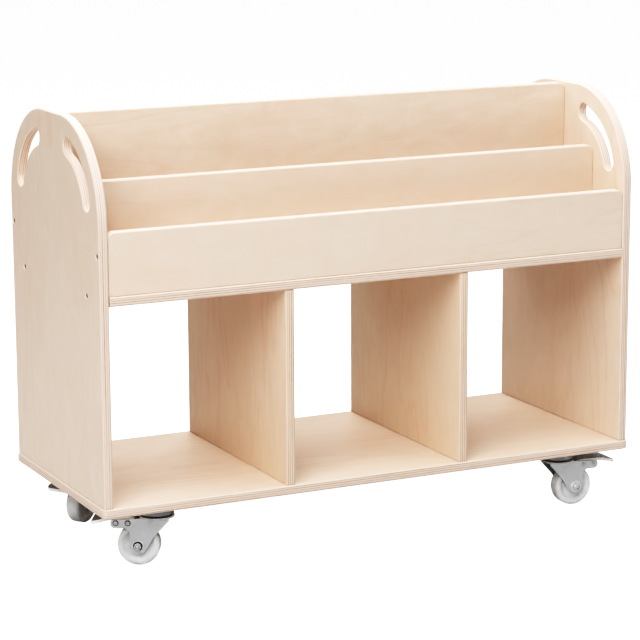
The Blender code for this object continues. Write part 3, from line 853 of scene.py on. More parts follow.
def slot_outline(depth, height, side):
    """A curved handle slot with round ends, on the side (1 or -1) of the panel's middle."""
    boards = settings().boards
    centre = (depth / 2 - boards.shoulder, height - boards.shoulder)
    half = boards.slot_width / 2
    radius = boards.shoulder - boards.slot_margin - half
    low, high = boards.slot_low, boards.slot_high
    ends = [(centre[0] + radius * cos(a), centre[1] + radius * sin(a)) for a in (low, high)]
    points = arc(centre, radius + half, low, high)
    points += arc(ends[1], half, high, high + pi)[1:-1]
    points += arc(centre, radius - half, high, low)
    points += arc(ends[0], half, low + pi, low + 2 * pi)[1:-1]
    return [(side * x, y) for x, y in points]


def screw_recess():
    """A cutter for a sunk screw: a straight hole with a coned mouth, along Z with its mouth at the origin."""
    radius = settings().casters.screw_head + SCREW_ROOM
    cone = settings().casters.screw_sink
    over, deep = cone / 2, 3 * cone
    profile = [(0, over), (radius + cone + over, over), (radius, -cone), (radius, -deep), (0, -deep)]
    return turned(profile, SMALL_SIDES)


class CART_OT_side_panels(bpy.types.Operator):
    """Make the two rounded side panels with their handle slots and screw holes"""

    bl_idname = "book_cart.side_panels"
    bl_label = "Side Panels"

    def execute(self, context):
        for node, side, seed in (("side_panel_left", -1, 0.7), ("side_panel_right", 1, 4.9)):
            centre, size = middle(node)
            half, height = size.y / 2, size.z
            slots = [slot_outline(size.y, height, end) for end in (-1, 1)]
            mesh = standing(half, height, settings().boards.shoulder, size.x, slots=slots)
            moved(mesh, (centre.x, 0, centre.z - height / 2), UPRIGHT_LAY)
            face = centre.x + side * size.x / 2
            holes = []
            for y, z in PANEL_SCREWS:
                for end in (-1, 1):
                    hole = screw_recess()
                    place = Matrix.Translation((face, end * y, z))
                    hole.transform(place @ Matrix.Rotation(side * pi / 2, 4, "Y"))
                    holes.append(("DIFFERENCE", hole))
            board(node, combined(mesh, holes), birch(node, centre, UPRIGHT_TURN, size.x, seed, figure=0.6))
        return {"FINISHED"}


class CART_OT_flat_boards(bpy.types.Operator):
    """Make the base board and the book shelf"""

    bl_idname = "book_cart.flat_boards"
    bl_label = "Base and Shelf"

    def execute(self, context):
        boards = settings().boards
        for node, corner, seed in (("base_board", boards.base_corner, 2.3), ("book_shelf", 0, 6.1)):
            centre, size = middle(node)
            half_x, half_y = size.x / 2, size.y / 2
            over = 0 if corner else overlap()
            seats = [(0, way * half_x, way) for way in (-1, 1)] if over else []
            corners = [(x * (half_x + over), y * half_y, corner or over / 2) for x, y in CORNERS]
            mesh = moved(sheet([rounded(corners)], size.z, boards.edge_round, seats), centre)
            board(node, mesh, birch(node, centre, FLAT_TURN, size.z, seed, figure=0.6))
        return {"FINISHED"}


class CART_OT_dividers(bpy.types.Operator):
    """Make the two upright dividers between the cubbies"""

    bl_idname = "book_cart.dividers"
    bl_label = "Dividers"

    def execute(self, context):
        over = overlap()
        # Painted shade: a yellower tint on the dividers stands in for the warm bounced light in the shaded
        # cubbies
        cubby_shade_tint = (0.99, 0.97, 0.93)
        for node, seed in (("divider_left", 3.3), ("divider_right", 8.2)):
            centre, size = middle(node)
            half, height = size.y / 2, size.z
            mesh = standing(half, height + over, over / 2, size.x, [(1, height + OPEN_JOINT, 1)])
            moved(mesh, (centre.x, 0, centre.z - height / 2), UPRIGHT_LAY)
            board(node, mesh, birch(node, centre, UPRIGHT_TURN, size.x, seed, figure=0.5, shade=cubby_shade_tint))
        return {"FINISHED"}


class CART_OT_trough_boards(bpy.types.Operator):
    """Make the centre, middle and low boards that hold the books upright"""

    bl_idname = "book_cart.trough_boards"
    bl_label = "Trough Boards"

    def execute(self, context):
        boards = settings().boards
        rows = (
            ("centre_board", 1.9, 0.85),
            ("front_middle_board", 5.2, 0.5),
            ("rear_middle_board", 7.7, 1.0),
            ("front_low_board", 9.4, 0.6),
            ("rear_low_board", 0.4, 0.9),
        )
        for node, seed, figure in rows:
            centre, size = middle(node)
            half, height = size.x / 2, size.z
            wide = half + boards.edge_round / 2
            seats = [(0, -half, -1), (0, half, 1)]
            mesh = standing(wide, height, boards.board_corner, size.y, seats)
            moved(mesh, (0, centre.y, centre.z - height / 2), FACING_FRONT_TURN)
            board(node, mesh, birch(node, centre, FACING_FRONT_TURN, size.y, seed, figure))
        return {"FINISHED"}


# Repeated small pieces, by Geometry Nodes


def finished_instances(tree, points, shape, turn, material, result):
    """Places the shape on the points, made real, with its material."""
    values = {"Points": points, "Instance": shape}
    if turn is not None:
        values["Rotation"] = turn
    placed = add(tree, "GeometryNodeInstanceOnPoints", values)
    real = add(tree, "GeometryNodeRealizeInstances", {0: placed.outputs[0]})
    painted = add(tree, "GeometryNodeSetMaterial", {"Geometry": real.outputs[0], "Material": material})
    tree.links.new(painted.outputs[0], result[0])


def screw_tree():
    """Socket-head screws on the points of a mesh, each facing along the point's own facing vector."""
    tree, given, result = new_group(
        "Socket Screws",
        "GeometryNodeTree",
        {
            "Geometry": "Geometry",
            "Head Radius": "Float",
            "Head Height": "Float",
            "Socket Radius": "Float",
            "Socket Depth": "Float",
            "Material": "Material",
        },
        {"Geometry": "Geometry"},
    )
    head = add(tree, "GeometryNodeMeshCylinder", {
        "Vertices": 28, "Radius": given["Head Radius"], "Depth": given["Head Height"],
    })
    socket = add(tree, "GeometryNodeMeshCylinder", {
        "Vertices": 6,
        "Radius": given["Socket Radius"],
        "Depth": maths(tree, "MULTIPLY", given["Socket Depth"], 2.0),
    })
    lift = add(tree, "ShaderNodeCombineXYZ", {"Z": maths(tree, "MULTIPLY", given["Head Height"], 0.5)})
    values = {"Geometry": socket.outputs[0], "Translation": lift.outputs[0]}
    raised = add(tree, "GeometryNodeTransform", values)
    cut = add(tree, "GeometryNodeMeshBoolean", operation="DIFFERENCE")
    tree.links.new(head.outputs[0], cut.inputs["Mesh 1"])
    tree.links.new(raised.outputs[0], cut.inputs["Mesh 2"])
    facing = add(tree, "GeometryNodeInputNamedAttribute", {"Name": "facing"}, data_type="FLOAT_VECTOR")
    turn = add(tree, "FunctionNodeAlignRotationToVector", {"Vector": facing.outputs[0]}, axis="Z")
    finished_instances(tree, given["Geometry"], cut.outputs[0], turn.outputs[0], given["Material"], result)
    return tree


def ball_tree():
    """Bearing balls round a race, about Z."""
    tree, given, result = new_group(
        "Ball Race",
        "GeometryNodeTree",
        {
            "Geometry": "Geometry",
            "Count": "Int",
            "Race Radius": "Float",
            "Ball Radius": "Float",
            "Material": "Material",
        },
        {"Geometry": "Geometry"},
    )
    race = add(tree, "GeometryNodeMeshCircle", {"Vertices": given["Count"], "Radius": given["Race Radius"]})
    values = {"Segments": 12, "Rings": 8, "Radius": given["Ball Radius"]}
    ball = add(tree, "GeometryNodeMeshUVSphere", values)
    rounded_ball = add(tree, "GeometryNodeSetShadeSmooth", {0: ball.outputs[0]})
    finished_instances(tree, race.outputs[0], rounded_ball.outputs[0], None, given["Material"], result)
    return tree


def grown(tree, mesh, values):
    """The plain mesh that a Geometry Nodes tree makes from a mesh and its inputs, set by identifier."""
    obj = linked("grown", mesh)
    nodes = obj.modifiers.new("grow", "NODES")
    nodes.node_group = tree
    for item in tree.interface.items_tree:
        if item.item_type == "SOCKET" and item.in_out == "INPUT" and item.name in values:
            nodes[item.identifier] = values[item.name]
    obj.update_tag()
    return frozen(obj)


def screw_points(rows):
    """A mesh of points, each row (place, facing)."""
    mesh = bpy.data.meshes.new("screw_points")
    mesh.from_pydata([place for place, _ in rows], [], [])
    facing = mesh.attributes.new("facing", "FLOAT_VECTOR", "POINT")
    for point, (_, way) in zip(facing.data, rows):
        point.vector = way
    return mesh


class CART_OT_screws(bpy.types.Operator):
    """Make the sunk screws of the side panels and the screws of the caster plates"""

    bl_idname = "book_cart.screws"
    bl_label = "Screws"

    def execute(self, context):
        casters = settings().casters
        tree = screw_tree()
        head = SCREW_HEAD_HEIGHT
        sizes = {
            "Head Radius": casters.screw_head,
            "Head Height": head,
            "Socket Radius": casters.screw_head * SOCKET_SHARE,
            "Socket Depth": SOCKET_DEPTH,
            "Material": shaded_screw_steel(),
        }
        for node, side in (("side_panel_left", -1), ("side_panel_right", 1)):
            centre, size = middle(node)
            x = centre.x + side * (size.x / 2 - casters.screw_sink - head / 2)
            rows = [((x, end * y, z), (side, 0, 0)) for y, z in PANEL_SCREWS for end in (-1, 1)]
            mesh = smooth(grown(tree, screw_points(rows), sizes))
            piece(node + "_screws", mesh, shaded_screw_steel(), CABINET, "bright_steel")
        rows = []
        reach = PLATE_SIDE / 2 - PLATE_SCREW_INSET
        for name in CASTERS:
            swivel = Vector(JOINTS[f"{name}_swivel_turn"]["pos_m"])
            for x, y in CORNERS:
                place = (swivel.x + x * reach, swivel.y + y * reach, PLATE_LOW - SEAT_GAP - head / 2)
                rows.append((place, (0, 0, -1)))
        mesh = smooth(grown(tree, screw_points(rows), sizes))
        piece("caster_plate_screws", mesh, bright_steel(), CABINET, "bright_steel")
        return {"FINISHED"}


# Casters


def caster_place(name):
    """The matrix from a caster's own axes, with its trail along X, to the cart's."""
    swivel = Vector(JOINTS[f"{name}_swivel_turn"]["pos_m"])
    axle = Vector(JOINTS[f"{name}_wheel_roll"]["pos_m"])
    heading = atan2(axle.y - swivel.y, axle.x - swivel.x)
    return Matrix.Translation((swivel.x, swivel.y, 0)) @ Matrix.Rotation(heading, 4, "Z")


def on_casters(part, mesh, material, body, slot):
    """One copy of a mesh on each caster, for its CAD node; the cabinet's keep square with the base."""
    for name in CASTERS:
        copy = mesh.copy()
        place = caster_place(name)
        copy.transform(Matrix.Translation(place.translation) if body == CABINET else place)
        rides = CABINET if body == CABINET else f"{name}_{body}"
        piece(f"{name}_{part}_made", copy, material, rides, slot, f"{name}_{part}")


def mark_painted_light(mesh, painted_light_of):
    """Stores each face's painted light, from painted shade to painted highlight, for the plated finish."""
    marks = mesh.attributes.new("wear", "FLOAT", "FACE")
    for face, mark in zip(mesh.polygons, marks.data):
        mark.value = painted_light_of(face)


def lying(mesh, x, z):
    """A mesh made along Z, laid along the axle through (x, z)."""
    return moved(mesh, (x, 0, z), (-pi / 2, 0, 0))


class CART_OT_wheels(bpy.types.Operator):
    """Make the nylon wheels with their crowned treads and dished sides"""

    bl_idname = "book_cart.wheels"
    bl_label = "Wheels"

    def execute(self, context):
        half, hub = WHEEL_WIDTH / 2, HUB_WIDTH / 2
        rim = WHEEL_RADIUS - WHEEL_RIM
        web = half - WHEEL_DISH
        profile = both_ends([
            (AXLE_RADIUS + SEAT_GAP, hub, 0),
            (HUB_RADIUS, hub, WHEEL_EASE),
            (HUB_RADIUS + WHEEL_DISH / 2, web, WHEEL_EASE * 2),
            (rim - WHEEL_DISH, web, WHEEL_EASE * 8),
            (rim + WHEEL_DISH / 2, half, WHEEL_EASE * 7),
            (WHEEL_RADIUS, half, TREAD_ROUND),
        ])
        mesh = lying(turned(profile, LARGE_SIDES), TRAIL, AXLE_Z)
        on_casters("wheel", mesh, white_nylon(), "roller", "white_nylon")
        return {"FINISHED"}


def leg_outline():
    """One leg of the fork in its (x, z) plane, from the swivel axis and the floor."""
    low = AXLE_Z - LEG_END_RADIUS
    throat_z = AXLE_Z + LEG_THROAT
    reach = hypot(TRAIL, LEG_THROAT)
    slope = atan2(-LEG_THROAT, TRAIL)
    slope -= atan2(LEG_END_RADIUS, (reach**2 - LEG_END_RADIUS**2) ** 0.5)
    toe_x = (low - throat_z) / tan(slope)
    heel_x = TRAIL + LEG_END_RADIUS
    arm_low = PIN_Z - ARM_END_RADIUS
    arm_end = STOP_X + ARM_END_RADIUS
    leg_top = CROWN_TOP - CROWN_LIP
    return rounded([
        (toe_x, low, LEG_END_ROUND),
        (heel_x, low, LEG_END_ROUND),
        (heel_x, arm_low, LEG_HEEL_ROUND),
        (arm_end, arm_low, ARM_TIP_ROUND),
        (arm_end, PIN_Z + ARM_TOP_RISE, ARM_TOP_ROUND),
        (LEG_SHOULDER, leg_top, 0),
        (-LEG_SHOULDER, leg_top, 0),
        (-LEG_SHOULDER, leg_top - CROWN_LIP, 0),
        (0, throat_z, LEG_END_RADIUS),
    ])


def with_skirt(leg, side):
    """Draws a leg's upper part out into a skirt that runs into the round crown."""
    low, high = AXLE_Z + LEG_THROAT, CROWN_TOP - CROWN_LIP
    with edited(leg) as work:
        for i in range(SKIRT_STEPS + 1):
            share = i / SKIRT_STEPS
            cut_along(work, (0, low + (high - low) * share, 0), (0, 1, 0))
            cut_along(work, (SKIRT_WIDTH * (2 * share - 1), 0, 0), (1, 0, 0))
        for vert in work.verts:
            up = max(0.0, vert.co.y - low) / (high - low)
            across_leg = min(1.0, abs(vert.co.x) / SKIRT_WIDTH)
            vert.co.z -= side * SKIRT_DRAW * up**2 * (1 + cos(pi * across_leg)) / 2
    return leg


def crown_mesh():
    """The fork's round crown: a rolled lip that narrows to a foot round the king pin's bore."""
    bore = KING_RADIUS + SEAT_GAP
    lip_z = CROWN_TOP - CROWN_LIP
    roll = CROWN_LIP / 2
    profile = [(bore, CROWN_TOP)]
    profile += arc((CROWN_RADIUS - roll, CROWN_TOP - roll), roll, pi / 2, -pi / 4)
    for i in range(1, CROWN_STEPS + 1):
        a = pi / 2 * i / CROWN_STEPS
        r = CROWN_RADIUS - (CROWN_RADIUS - CROWN_FOOT_RADIUS) * sin(a)
        profile.append((r, lip_z - (lip_z - CROWN_LOW) * (1 - cos(a))))
    profile.append((bore, CROWN_LOW))
    return turned(profile, LARGE_SIDES)


class CART_OT_forks(bpy.types.Operator):
    """Make the pressed steel forks with their crowns, legs and arms"""

    bl_idname = "book_cart.forks"
    bl_label = "Forks"

    def execute(self, context):
        joins = []
        nut_seat = AXLE_HEAD_RADIUS + 2 * SEAT_GAP
        groove = [
            (AXLE_NUT_RADIUS - SEAT_GAP, BOSS_HEIGHT, 0),
            (AXLE_NUT_RADIUS, BOSS_HEIGHT / 2, GROOVE_ROUND),
            (nut_seat, BOSS_HEIGHT / 2, GROOVE_ROUND),
            (nut_seat + SEAT_GAP, BOSS_HEIGHT, GROOVE_ROUND),
        ]
        for side in (-1, 1):
            leg = with_skirt(sheet([leg_outline()], FORK_STEEL, STEEL_EASE), side)
            moved(leg, (0, side * LEG_Y, 0), (pi / 2, 0, 0))
            boss = turned(rounded([
                (0, BOSS_HEIGHT, 0),
                *(groove if side == NUT_SIDE else ()),
                (BOSS_RADIUS - BOSS_HEIGHT / 2, BOSS_HEIGHT, BOSS_ROUND),
                (BOSS_RADIUS, 0, 0),
                (BOSS_RADIUS, -FORK_STEEL / 2, 0),
                (0, -FORK_STEEL / 2, 0),
            ]))
            moved(boss, (TRAIL, side * LEG_OUTSIDE, AXLE_Z), (-side * pi / 2, 0, 0))
            joins += [("UNION", leg), ("UNION", boss)]
        wide = 4 * LEG_OUTSIDE
        joins.append(("DIFFERENCE", across(AXLE_RADIUS + SEAT_GAP, wide, TRAIL, AXLE_Z)))
        around_pin = PIN_HEAD_RADIUS + PIN_DIMPLE
        for x in (PIN_X, STOP_X):
            joins.append(("DIFFERENCE", across(PIN_RADIUS + SEAT_GAP, wide, x, PIN_Z)))
            dimple = across(around_pin, 2 * PIN_DIMPLE, x, PIN_Z)
            dimple.transform(Matrix.Translation((0, NUT_SIDE * LEG_OUTSIDE, 0)))
            joins.append(("DIFFERENCE", dimple))
        mesh = with_even_normals(combined(crown_mesh(), joins))

        # Painted light per face: painted shade in the pin dimples and the nut's groove, painted highlight on
        # the bosses and the crown's upward faces
        def wear(face):
            x, y, z = face.center
            out = abs(y) - LEG_OUTSIDE
            to_pin = min(hypot(x - pin, z - PIN_Z) for pin in (PIN_X, STOP_X))
            to_axle = hypot(x - TRAIL, z - AXLE_Z)
            # Painted shade in the pin dimples
            if -2 * PIN_DIMPLE < out < -SEAT_GAP / 3 and to_pin < around_pin + SEAT_GAP:
                return PAINTED_RECESS_SHADE
            # Painted highlight on the boss, painted shade in the nut's groove
            if out > SEAT_GAP and to_axle < BOSS_RADIUS:
                in_shaded_groove = y > 0 and groove[0][0] < to_axle < groove[-1][0]
                return PAINTED_RECESS_SHADE if in_shaded_groove else PAINTED_HIGHLIGHT / 2
            # Painted highlight on the crown's upward faces
            return PAINTED_HIGHLIGHT if face.normal.z > CROWN_UP and z > PIN_Z else 0.0

        mark_painted_light(mesh, wear)
        on_casters("fork", mesh, zinc(), "swivel", "zinc")
        return {"FINISHED"}


class CART_OT_plates(bpy.types.Operator):
    """Make the caster plates with their bearing cups, and the king pins"""

    bl_idname = "book_cart.plates"
    bl_label = "Plates and King Pins"

    def execute(self, context):
        half = PLATE_SIDE / 2
        corners = [(x * half, y * half, PLATE_CORNER) for x, y in CORNERS]
        square = sheet([rounded(corners)], PLATE_THICKNESS, STEEL_EASE)
        joined = PLATE_LOW + PLATE_THICKNESS / 2
        moved(square, (0, 0, joined))
        cup = turned(rounded([
            (0, joined, 0),
            (CUP_RADIUS, joined, 0),
            (CUP_RADIUS, CUP_LOW - CUP_RIM, CUP_HEIGHT / 6),
            (CUP_RADIUS - 2 * CUP_RIM, CUP_LOW - CUP_RIM, CUP_RIM / 2),
            (CUP_RADIUS - 3 * CUP_RIM, CUP_LOW, 0),
            (0, CUP_LOW, 0),
        ]), CUP_SIDES)
        bore = bore_cutter(KING_RADIUS + SEAT_GAP, 4 * PLATE_TOP)
        seat = bore_cutter(KING_HEAD_RADIUS + SEAT_GAP, 2 * (KING_TOP_HEIGHT + SEAT_GAP))
        moved(seat, (0, 0, PLATE_TOP))
        mesh = combined(square, [("UNION", cup), ("DIFFERENCE", bore), ("DIFFERENCE", seat)])
        # The plates and cups take the half-bright zinc, a painted shade
        on_casters("plate", with_even_normals(mesh), shaded_cup_zinc(), CABINET, "zinc")
        low = CROWN_LOW - SEAT_GAP
        king_pin = turned(rounded([
            (0, PLATE_TOP, 0),
            (KING_HEAD_RADIUS, PLATE_TOP, KING_EASE),
            (KING_HEAD_RADIUS, PLATE_TOP - KING_TOP_HEIGHT, KING_EASE),
            (KING_RADIUS, PLATE_TOP - KING_TOP_HEIGHT, 0),
            (KING_RADIUS, low, 0),
            (KING_HEAD_RADIUS, low, KING_HEAD_EASE),
            (KING_HEAD_TOP, low - KING_HEAD_HEIGHT, KING_HEAD_ROUND),
            (0, low - KING_HEAD_HEIGHT, 0),
        ]))
        on_casters("king_pin", king_pin, zinc(), CABINET, "zinc")
        return {"FINISHED"}


class CART_OT_balls(bpy.types.Operator):
    """Make the rings of bearing balls between the crowns and the plates"""

    bl_idname = "book_cart.balls"
    bl_label = "Bearing Balls"

    def execute(self, context):
        seed = bpy.data.meshes.new("race")
        seed.from_pydata([(0, 0, 0)], [], [])
        values = {
            "Count": settings().casters.ball_count,
            "Race Radius": RACE_RADIUS,
            "Ball Radius": RACE_GAP / 2 - SEAT_GAP,
            "Material": bright_steel(),
        }
        mesh = moved(grown(ball_tree(), seed, values), (0, 0, CROWN_TOP + RACE_GAP / 2))
        on_casters("ball_ring", mesh, bright_steel(), "swivel", "bright_steel")
        return {"FINISHED"}


class CART_OT_axles(bpy.types.Operator):
    """Make the axle bolts with their domed heads, and the axle nuts"""

    bl_idname = "book_cart.axles"
    bl_label = "Axles"

    def execute(self, context):
        seat = LEG_OUTSIDE + BOSS_HEIGHT + SEAT_GAP
        end = seat + AXLE_NUT_HEIGHT + AXLE_END
        profile = [(0, end), (AXLE_RADIUS - 2 * THREAD, end)]
        for i in range(int((end - seat) / (2 * THREAD))):
            z = end - THREAD - 2 * THREAD * i
            profile += [(AXLE_RADIUS, z), (AXLE_RADIUS - THREAD, z - THREAD)]
        profile += [(AXLE_RADIUS, -seat)]
        dome = [pi / 2 * i / DOME_STEPS for i in range(DOME_STEPS)]
        profile += [(AXLE_HEAD_RADIUS * cos(a), -seat - AXLE_HEAD_HEIGHT * sin(a)) for a in dome]
        profile.append((0, -seat - AXLE_HEAD_HEIGHT))
        bolt = lying(turned(profile), TRAIL, AXLE_Z)
        on_casters("axle_bolt", bolt, bright_steel(), "swivel", "bright_steel")

        flat = AXLE_NUT_RADIUS * cos(pi / 6)
        chamfer = AXLE_NUT_RADIUS - flat
        bore = AXLE_RADIUS + SEAT_GAP
        half = AXLE_NUT_HEIGHT / 2
        blank = turned([
            (bore + THREAD, half),
            (flat - chamfer / 2, half),
            (AXLE_NUT_RADIUS + chamfer, half - chamfer),
            (AXLE_NUT_RADIUS + chamfer, -half + chamfer),
            (flat - chamfer / 2, -half),
            (bore + THREAD, -half),
            (bore, -half + THREAD),
            (bore, half - THREAD),
        ], NUT_SIDES)
        hexagon = [(AXLE_NUT_RADIUS * cos(pi / 3 * i), AXLE_NUT_RADIUS * sin(pi / 3 * i)) for i in range(6)]
        nut = combined(blank, [("INTERSECT", sheet([hexagon], 4 * AXLE_NUT_HEIGHT))])
        lying(nut, TRAIL, AXLE_Z).transform(Matrix.Translation((0, seat + half, 0)))
        # Painted highlight: the whole nut is made whiter and less metallic than the bolt
        mark_painted_light(nut, lambda face: PAINTED_HIGHLIGHT / 3)
        on_casters("axle_nut", nut, bright_steel(), "swivel", "bright_steel")
        return {"FINISHED"}


def pedal_mesh():
    """The brake pedal about its pin: a pressed tray that flares past the fork's arms and dips to its tip."""
    half = PEDAL_INNER + PEDAL_STEEL / 2
    wide = PEDAL_FLARE_WIDTH / 2
    neck = PIN_SPACING + ARM_END_RADIUS + PEDAL_STEEL
    tread = PEDAL_LENGTH - neck
    right = [
        (-CHEEK_LENGTH, -half, 0),
        (neck, -half, half),
        (neck + tread / 2, -wide, half),
        (PEDAL_LENGTH, -wide, PEDAL_TIP_ROUND),
    ]
    plan = rounded(right + [(x, -y, r) for x, y, r in reversed(right)])
    cheek = CHEEK_LENGTH / 2
    bends = [-cheek - PEDAL_STEEL, -cheek, cheek, cheek + PEDAL_STEEL, neck]
    bends += [neck + tread * i / PEDAL_STEPS for i in range(1, PEDAL_STEPS)]
    mesh = bpy.data.meshes.new("pedal")
    with edited(mesh) as work:
        work.faces.new([work.verts.new((x, y, 0)) for x, y in plan])
        for x in bends:
            cut_along(work, (x, 0, 0), (1, 0, 0), dist=WELD)
        rim = [edge for edge in work.edges if edge.is_boundary]
        turned_down = bmesh.ops.extrude_edge_only(work, edges=rim)["geom"]
        for vert in [item for item in turned_down if isinstance(item, bmesh.types.BMVert)]:
            at_cheek = abs(vert.co.x) < cheek + WELD and abs(abs(vert.co.y) - half) < WELD
            vert.co.z -= CHEEK_DEPTH if at_cheek else PEDAL_FLANGE
        inner = [edge for edge in work.edges if len(edge.link_faces) == 2]
        folds = [edge for edge in inner if edge.calc_face_angle() > pi / 4]
        bmesh.ops.bevel(
            work, geom=folds, offset=PEDAL_FOLD, segments=4, profile=0.5, affect="EDGES", clamp_overlap=True
        )
        for vert in work.verts:
            past = max(0.0, vert.co.x - neck) / tread
            vert.co.z += PEDAL_RISE - PEDAL_DROP * past**2
        bmesh.ops.recalc_face_normals(work, faces=work.faces)
    obj = linked("pedal", mesh)
    shell = obj.modifiers.new("steel", "SOLIDIFY")
    shell.thickness = PEDAL_STEEL
    shell.offset = 0
    shell.use_even_offset = True
    bore = across(PIN_RADIUS + SEAT_GAP, 4 * PEDAL_FLARE_WIDTH, 0, 0)
    return combined(frozen(obj), [("DIFFERENCE", bore)])


def shoe_mesh():
    """The brake shoe about its pin: its hollow face follows the tread."""
    axle = (TRAIL - PIN_X, AXLE_Z - PIN_Z)
    face = arc(axle, TREAD_REACH + RUN_GAP, SHOE_HIGH_ANGLE, SHOE_LOW_ANGLE)
    back = arc((0, 0), SHOE_BACK, pi / 4, pi)
    x, z = face[-1]
    heel = (x + SHOE_BACK * cos(SHOE_LOW_ANGLE), z + SHOE_BACK * sin(SHOE_LOW_ANGLE))
    bore = arc((0, 0), PIN_RADIUS + SEAT_GAP, 0, 2 * pi)[:-1]
    thickness = 2 * (PEDAL_INNER - SEAT_GAP)
    mesh = sheet([face + [heel] + back, bore], thickness, SHOE_EASE)
    return moved(mesh, (0, 0, 0), (pi / 2, 0, 0))


class CART_OT_brakes(bpy.types.Operator):
    """Make the brake pedals, their shoes and the pins in the forks' arms"""

    bl_idname = "book_cart.brakes"
    bl_label = "Brakes"

    def execute(self, context):
        at_pin = (PIN_X, 0, PIN_Z)
        pedal = with_even_normals(moved(pedal_mesh(), at_pin))
        # Painted shade on the pedal's upward tread, painted highlight on all its other faces
        mark_painted_light(pedal, lambda face: PAINTED_TREAD_SHADE if face.normal.z > PEDAL_UP else PAINTED_HIGHLIGHT)
        on_casters("brake_pedal", pedal, pedal_zinc(), "brake", "pedal_zinc")
        on_casters("brake_shoe", moved(shoe_mesh(), at_pin), grey_nylon(), "brake", "grey_nylon")
        seat = LEG_OUTSIDE + SEAT_GAP
        end = seat + PIN_HEAD_HEIGHT
        pin = turned(both_ends([
            (0, end - PIN_EYE_DEPTH, 0),
            (PIN_EYE_RADIUS, end - PIN_EYE_DEPTH, PIN_EYE_EASE),
            (PIN_EYE_RADIUS, end, PIN_EYE_ROUND),
            (PIN_HEAD_RADIUS, end, STEEL_EASE),
            (PIN_HEAD_RADIUS, seat, 0),
            (PIN_RADIUS, seat, 0),
        ]), SMALL_SIDES)
        for part, x in (("pedal_pin", PIN_X), ("stop_pin", STOP_X)):
            on_casters(part, lying(pin.copy(), x, PIN_Z), zinc(), "swivel", "zinc")
        return {"FINISHED"}


# Stage


def soft_light(name, place, size, power):
    """A round soft light that faces the cart."""
    data = bpy.data.lights.new(name, "AREA")
    data.shape = "DISK"
    data.size = size
    data.energy = power
    light = linked(name, data)
    light.location = place
    light.rotation_euler = (LIT_POINT - Vector(place)).to_track_quat("-Z", "Y").to_euler()


def tone_curve(view, contrast, shoulder):
    """The deep toe and soft shoulder of a studio photograph."""
    view.view_transform = "Standard"
    view.use_curve_mapping = True
    curve = view.curve_mapping.curves[COMBINED_CURVE]
    for i in range(1, CURVE_STEPS):
        x = i / CURVE_STEPS
        y = x**contrast
        curve.points.new(x, y * (1 + shoulder) / (y + shoulder))
    view.curve_mapping.update()


def studio_world(sheen):
    """A white backdrop, seen by the camera and, weaker, by reflections, that throws no light."""
    world = bpy.data.worlds.new("studio")
    bpy.context.scene.world = world
    world.use_nodes = True
    tree = world.node_tree
    backdrop = tree.nodes["Background"].inputs
    path = add(tree, "ShaderNodeLightPath").outputs
    reflected = maths(tree, "MULTIPLY", path["Is Glossy Ray"], sheen)
    tree.links.new(maths(tree, "MAXIMUM", path["Is Camera Ray"], reflected), backdrop["Strength"])
    backdrop["Color"].default_value = WHITE


def pale_floor():
    """A wide white floor that the camera sees without shadows."""
    mesh = bpy.data.meshes.new("floor")
    with edited(mesh) as work:
        bmesh.ops.create_grid(work, x_segments=1, y_segments=1, size=FLOOR_REACH)
    floor = linked("floor", mesh)
    floor.location.z = -FLOOR_DROP
    material = bpy.data.materials.new("pale_floor")
    material.use_nodes = True
    tree = material.node_tree
    shader = tree.nodes["Principled BSDF"].inputs
    seen = add(tree, "ShaderNodeLightPath").outputs["Is Camera Ray"]
    for key, value in {
        "Base Color": (FLOOR_WHITE, FLOOR_WHITE, FLOOR_WHITE, 1.0),
        "Roughness": 0.9,
        "Specular IOR Level": 0.0,
        "Emission Color": WHITE,
        "Emission Strength": maths(tree, "MULTIPLY", seen, FLOOR_GLOW),
    }.items():
        put(tree, shader[key], value)
    mesh.materials.append(material)


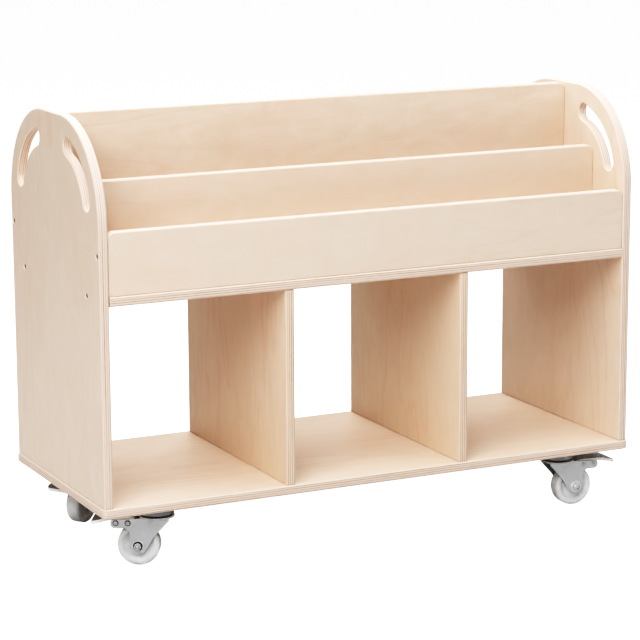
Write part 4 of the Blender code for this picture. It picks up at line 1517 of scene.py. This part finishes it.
class CART_OT_stage(bpy.types.Operator):
    """Make the floor, the lights and the camera"""

    bl_idname = "book_cart.stage"
    bl_label = "Stage"

    def execute(self, context):
        stage = settings().stage
        pale_floor()
        studio_world(stage.sheen)
        for name, place, size in LIGHTS:
            soft_light(name + "_light", place, size, getattr(stage, name))
        a, e, roll = stage.azimuth, stage.elevation, stage.roll
        back = Vector((sin(a) * cos(e), -cos(a) * cos(e), sin(e)))
        right = Vector((cos(a), sin(a), 0))
        up = back.cross(right)
        right, up = cos(roll) * right + sin(roll) * up, -sin(roll) * right + cos(roll) * up
        data = bpy.data.cameras.new("camera")
        data.lens = stage.lens
        data.sensor_width = SENSOR_WIDTH
        camera = linked("camera", data)
        turn = Matrix((right, up, back)).transposed().to_4x4()
        camera.matrix_world = Matrix.Translation(Vector(stage.target) + back * stage.distance) @ turn
        context.scene.camera = camera
        tone_curve(context.scene.view_settings, stage.contrast, stage.shoulder)
        return {"FINISHED"}


OPERATORS = (
    CART_OT_side_panels,
    CART_OT_flat_boards,
    CART_OT_dividers,
    CART_OT_trough_boards,
    CART_OT_screws,
    CART_OT_wheels,
    CART_OT_forks,
    CART_OT_plates,
    CART_OT_balls,
    CART_OT_axles,
    CART_OT_brakes,
    CART_OT_stage,
)


class CART_PT_sidebar(bpy.types.Panel):
    """Lists what makes the cart"""

    bl_label = "Book Cart"
    bl_idname = "CART_PT_sidebar"
    bl_space_type = "VIEW_3D"
    bl_region_type = "UI"
    bl_category = "Book Cart"

    def draw(self, context):
        for operator in OPERATORS:
            self.layout.operator(operator.bl_idname)
        for group in (settings().boards, settings().casters, settings().stage):
            box = self.layout.box()
            for name in group.__annotations__:
                box.prop(group, name)


CLASSES = (BoardSettings, CasterSettings, StageSettings, CartSettings, *OPERATORS, CART_PT_sidebar)


def register():
    for made in CLASSES:
        bpy.utils.register_class(made)
    bpy.types.Scene.book_cart = PointerProperty(type=CartSettings)


def unregister():
    del bpy.types.Scene.book_cart
    for made in reversed(CLASSES):
        bpy.utils.unregister_class(made)


def main():
    register()
    for operator in OPERATORS:
        group, name = operator.bl_idname.split(".")
        getattr(getattr(bpy.ops, group), name)()


if __name__ == "__main__":
    main()
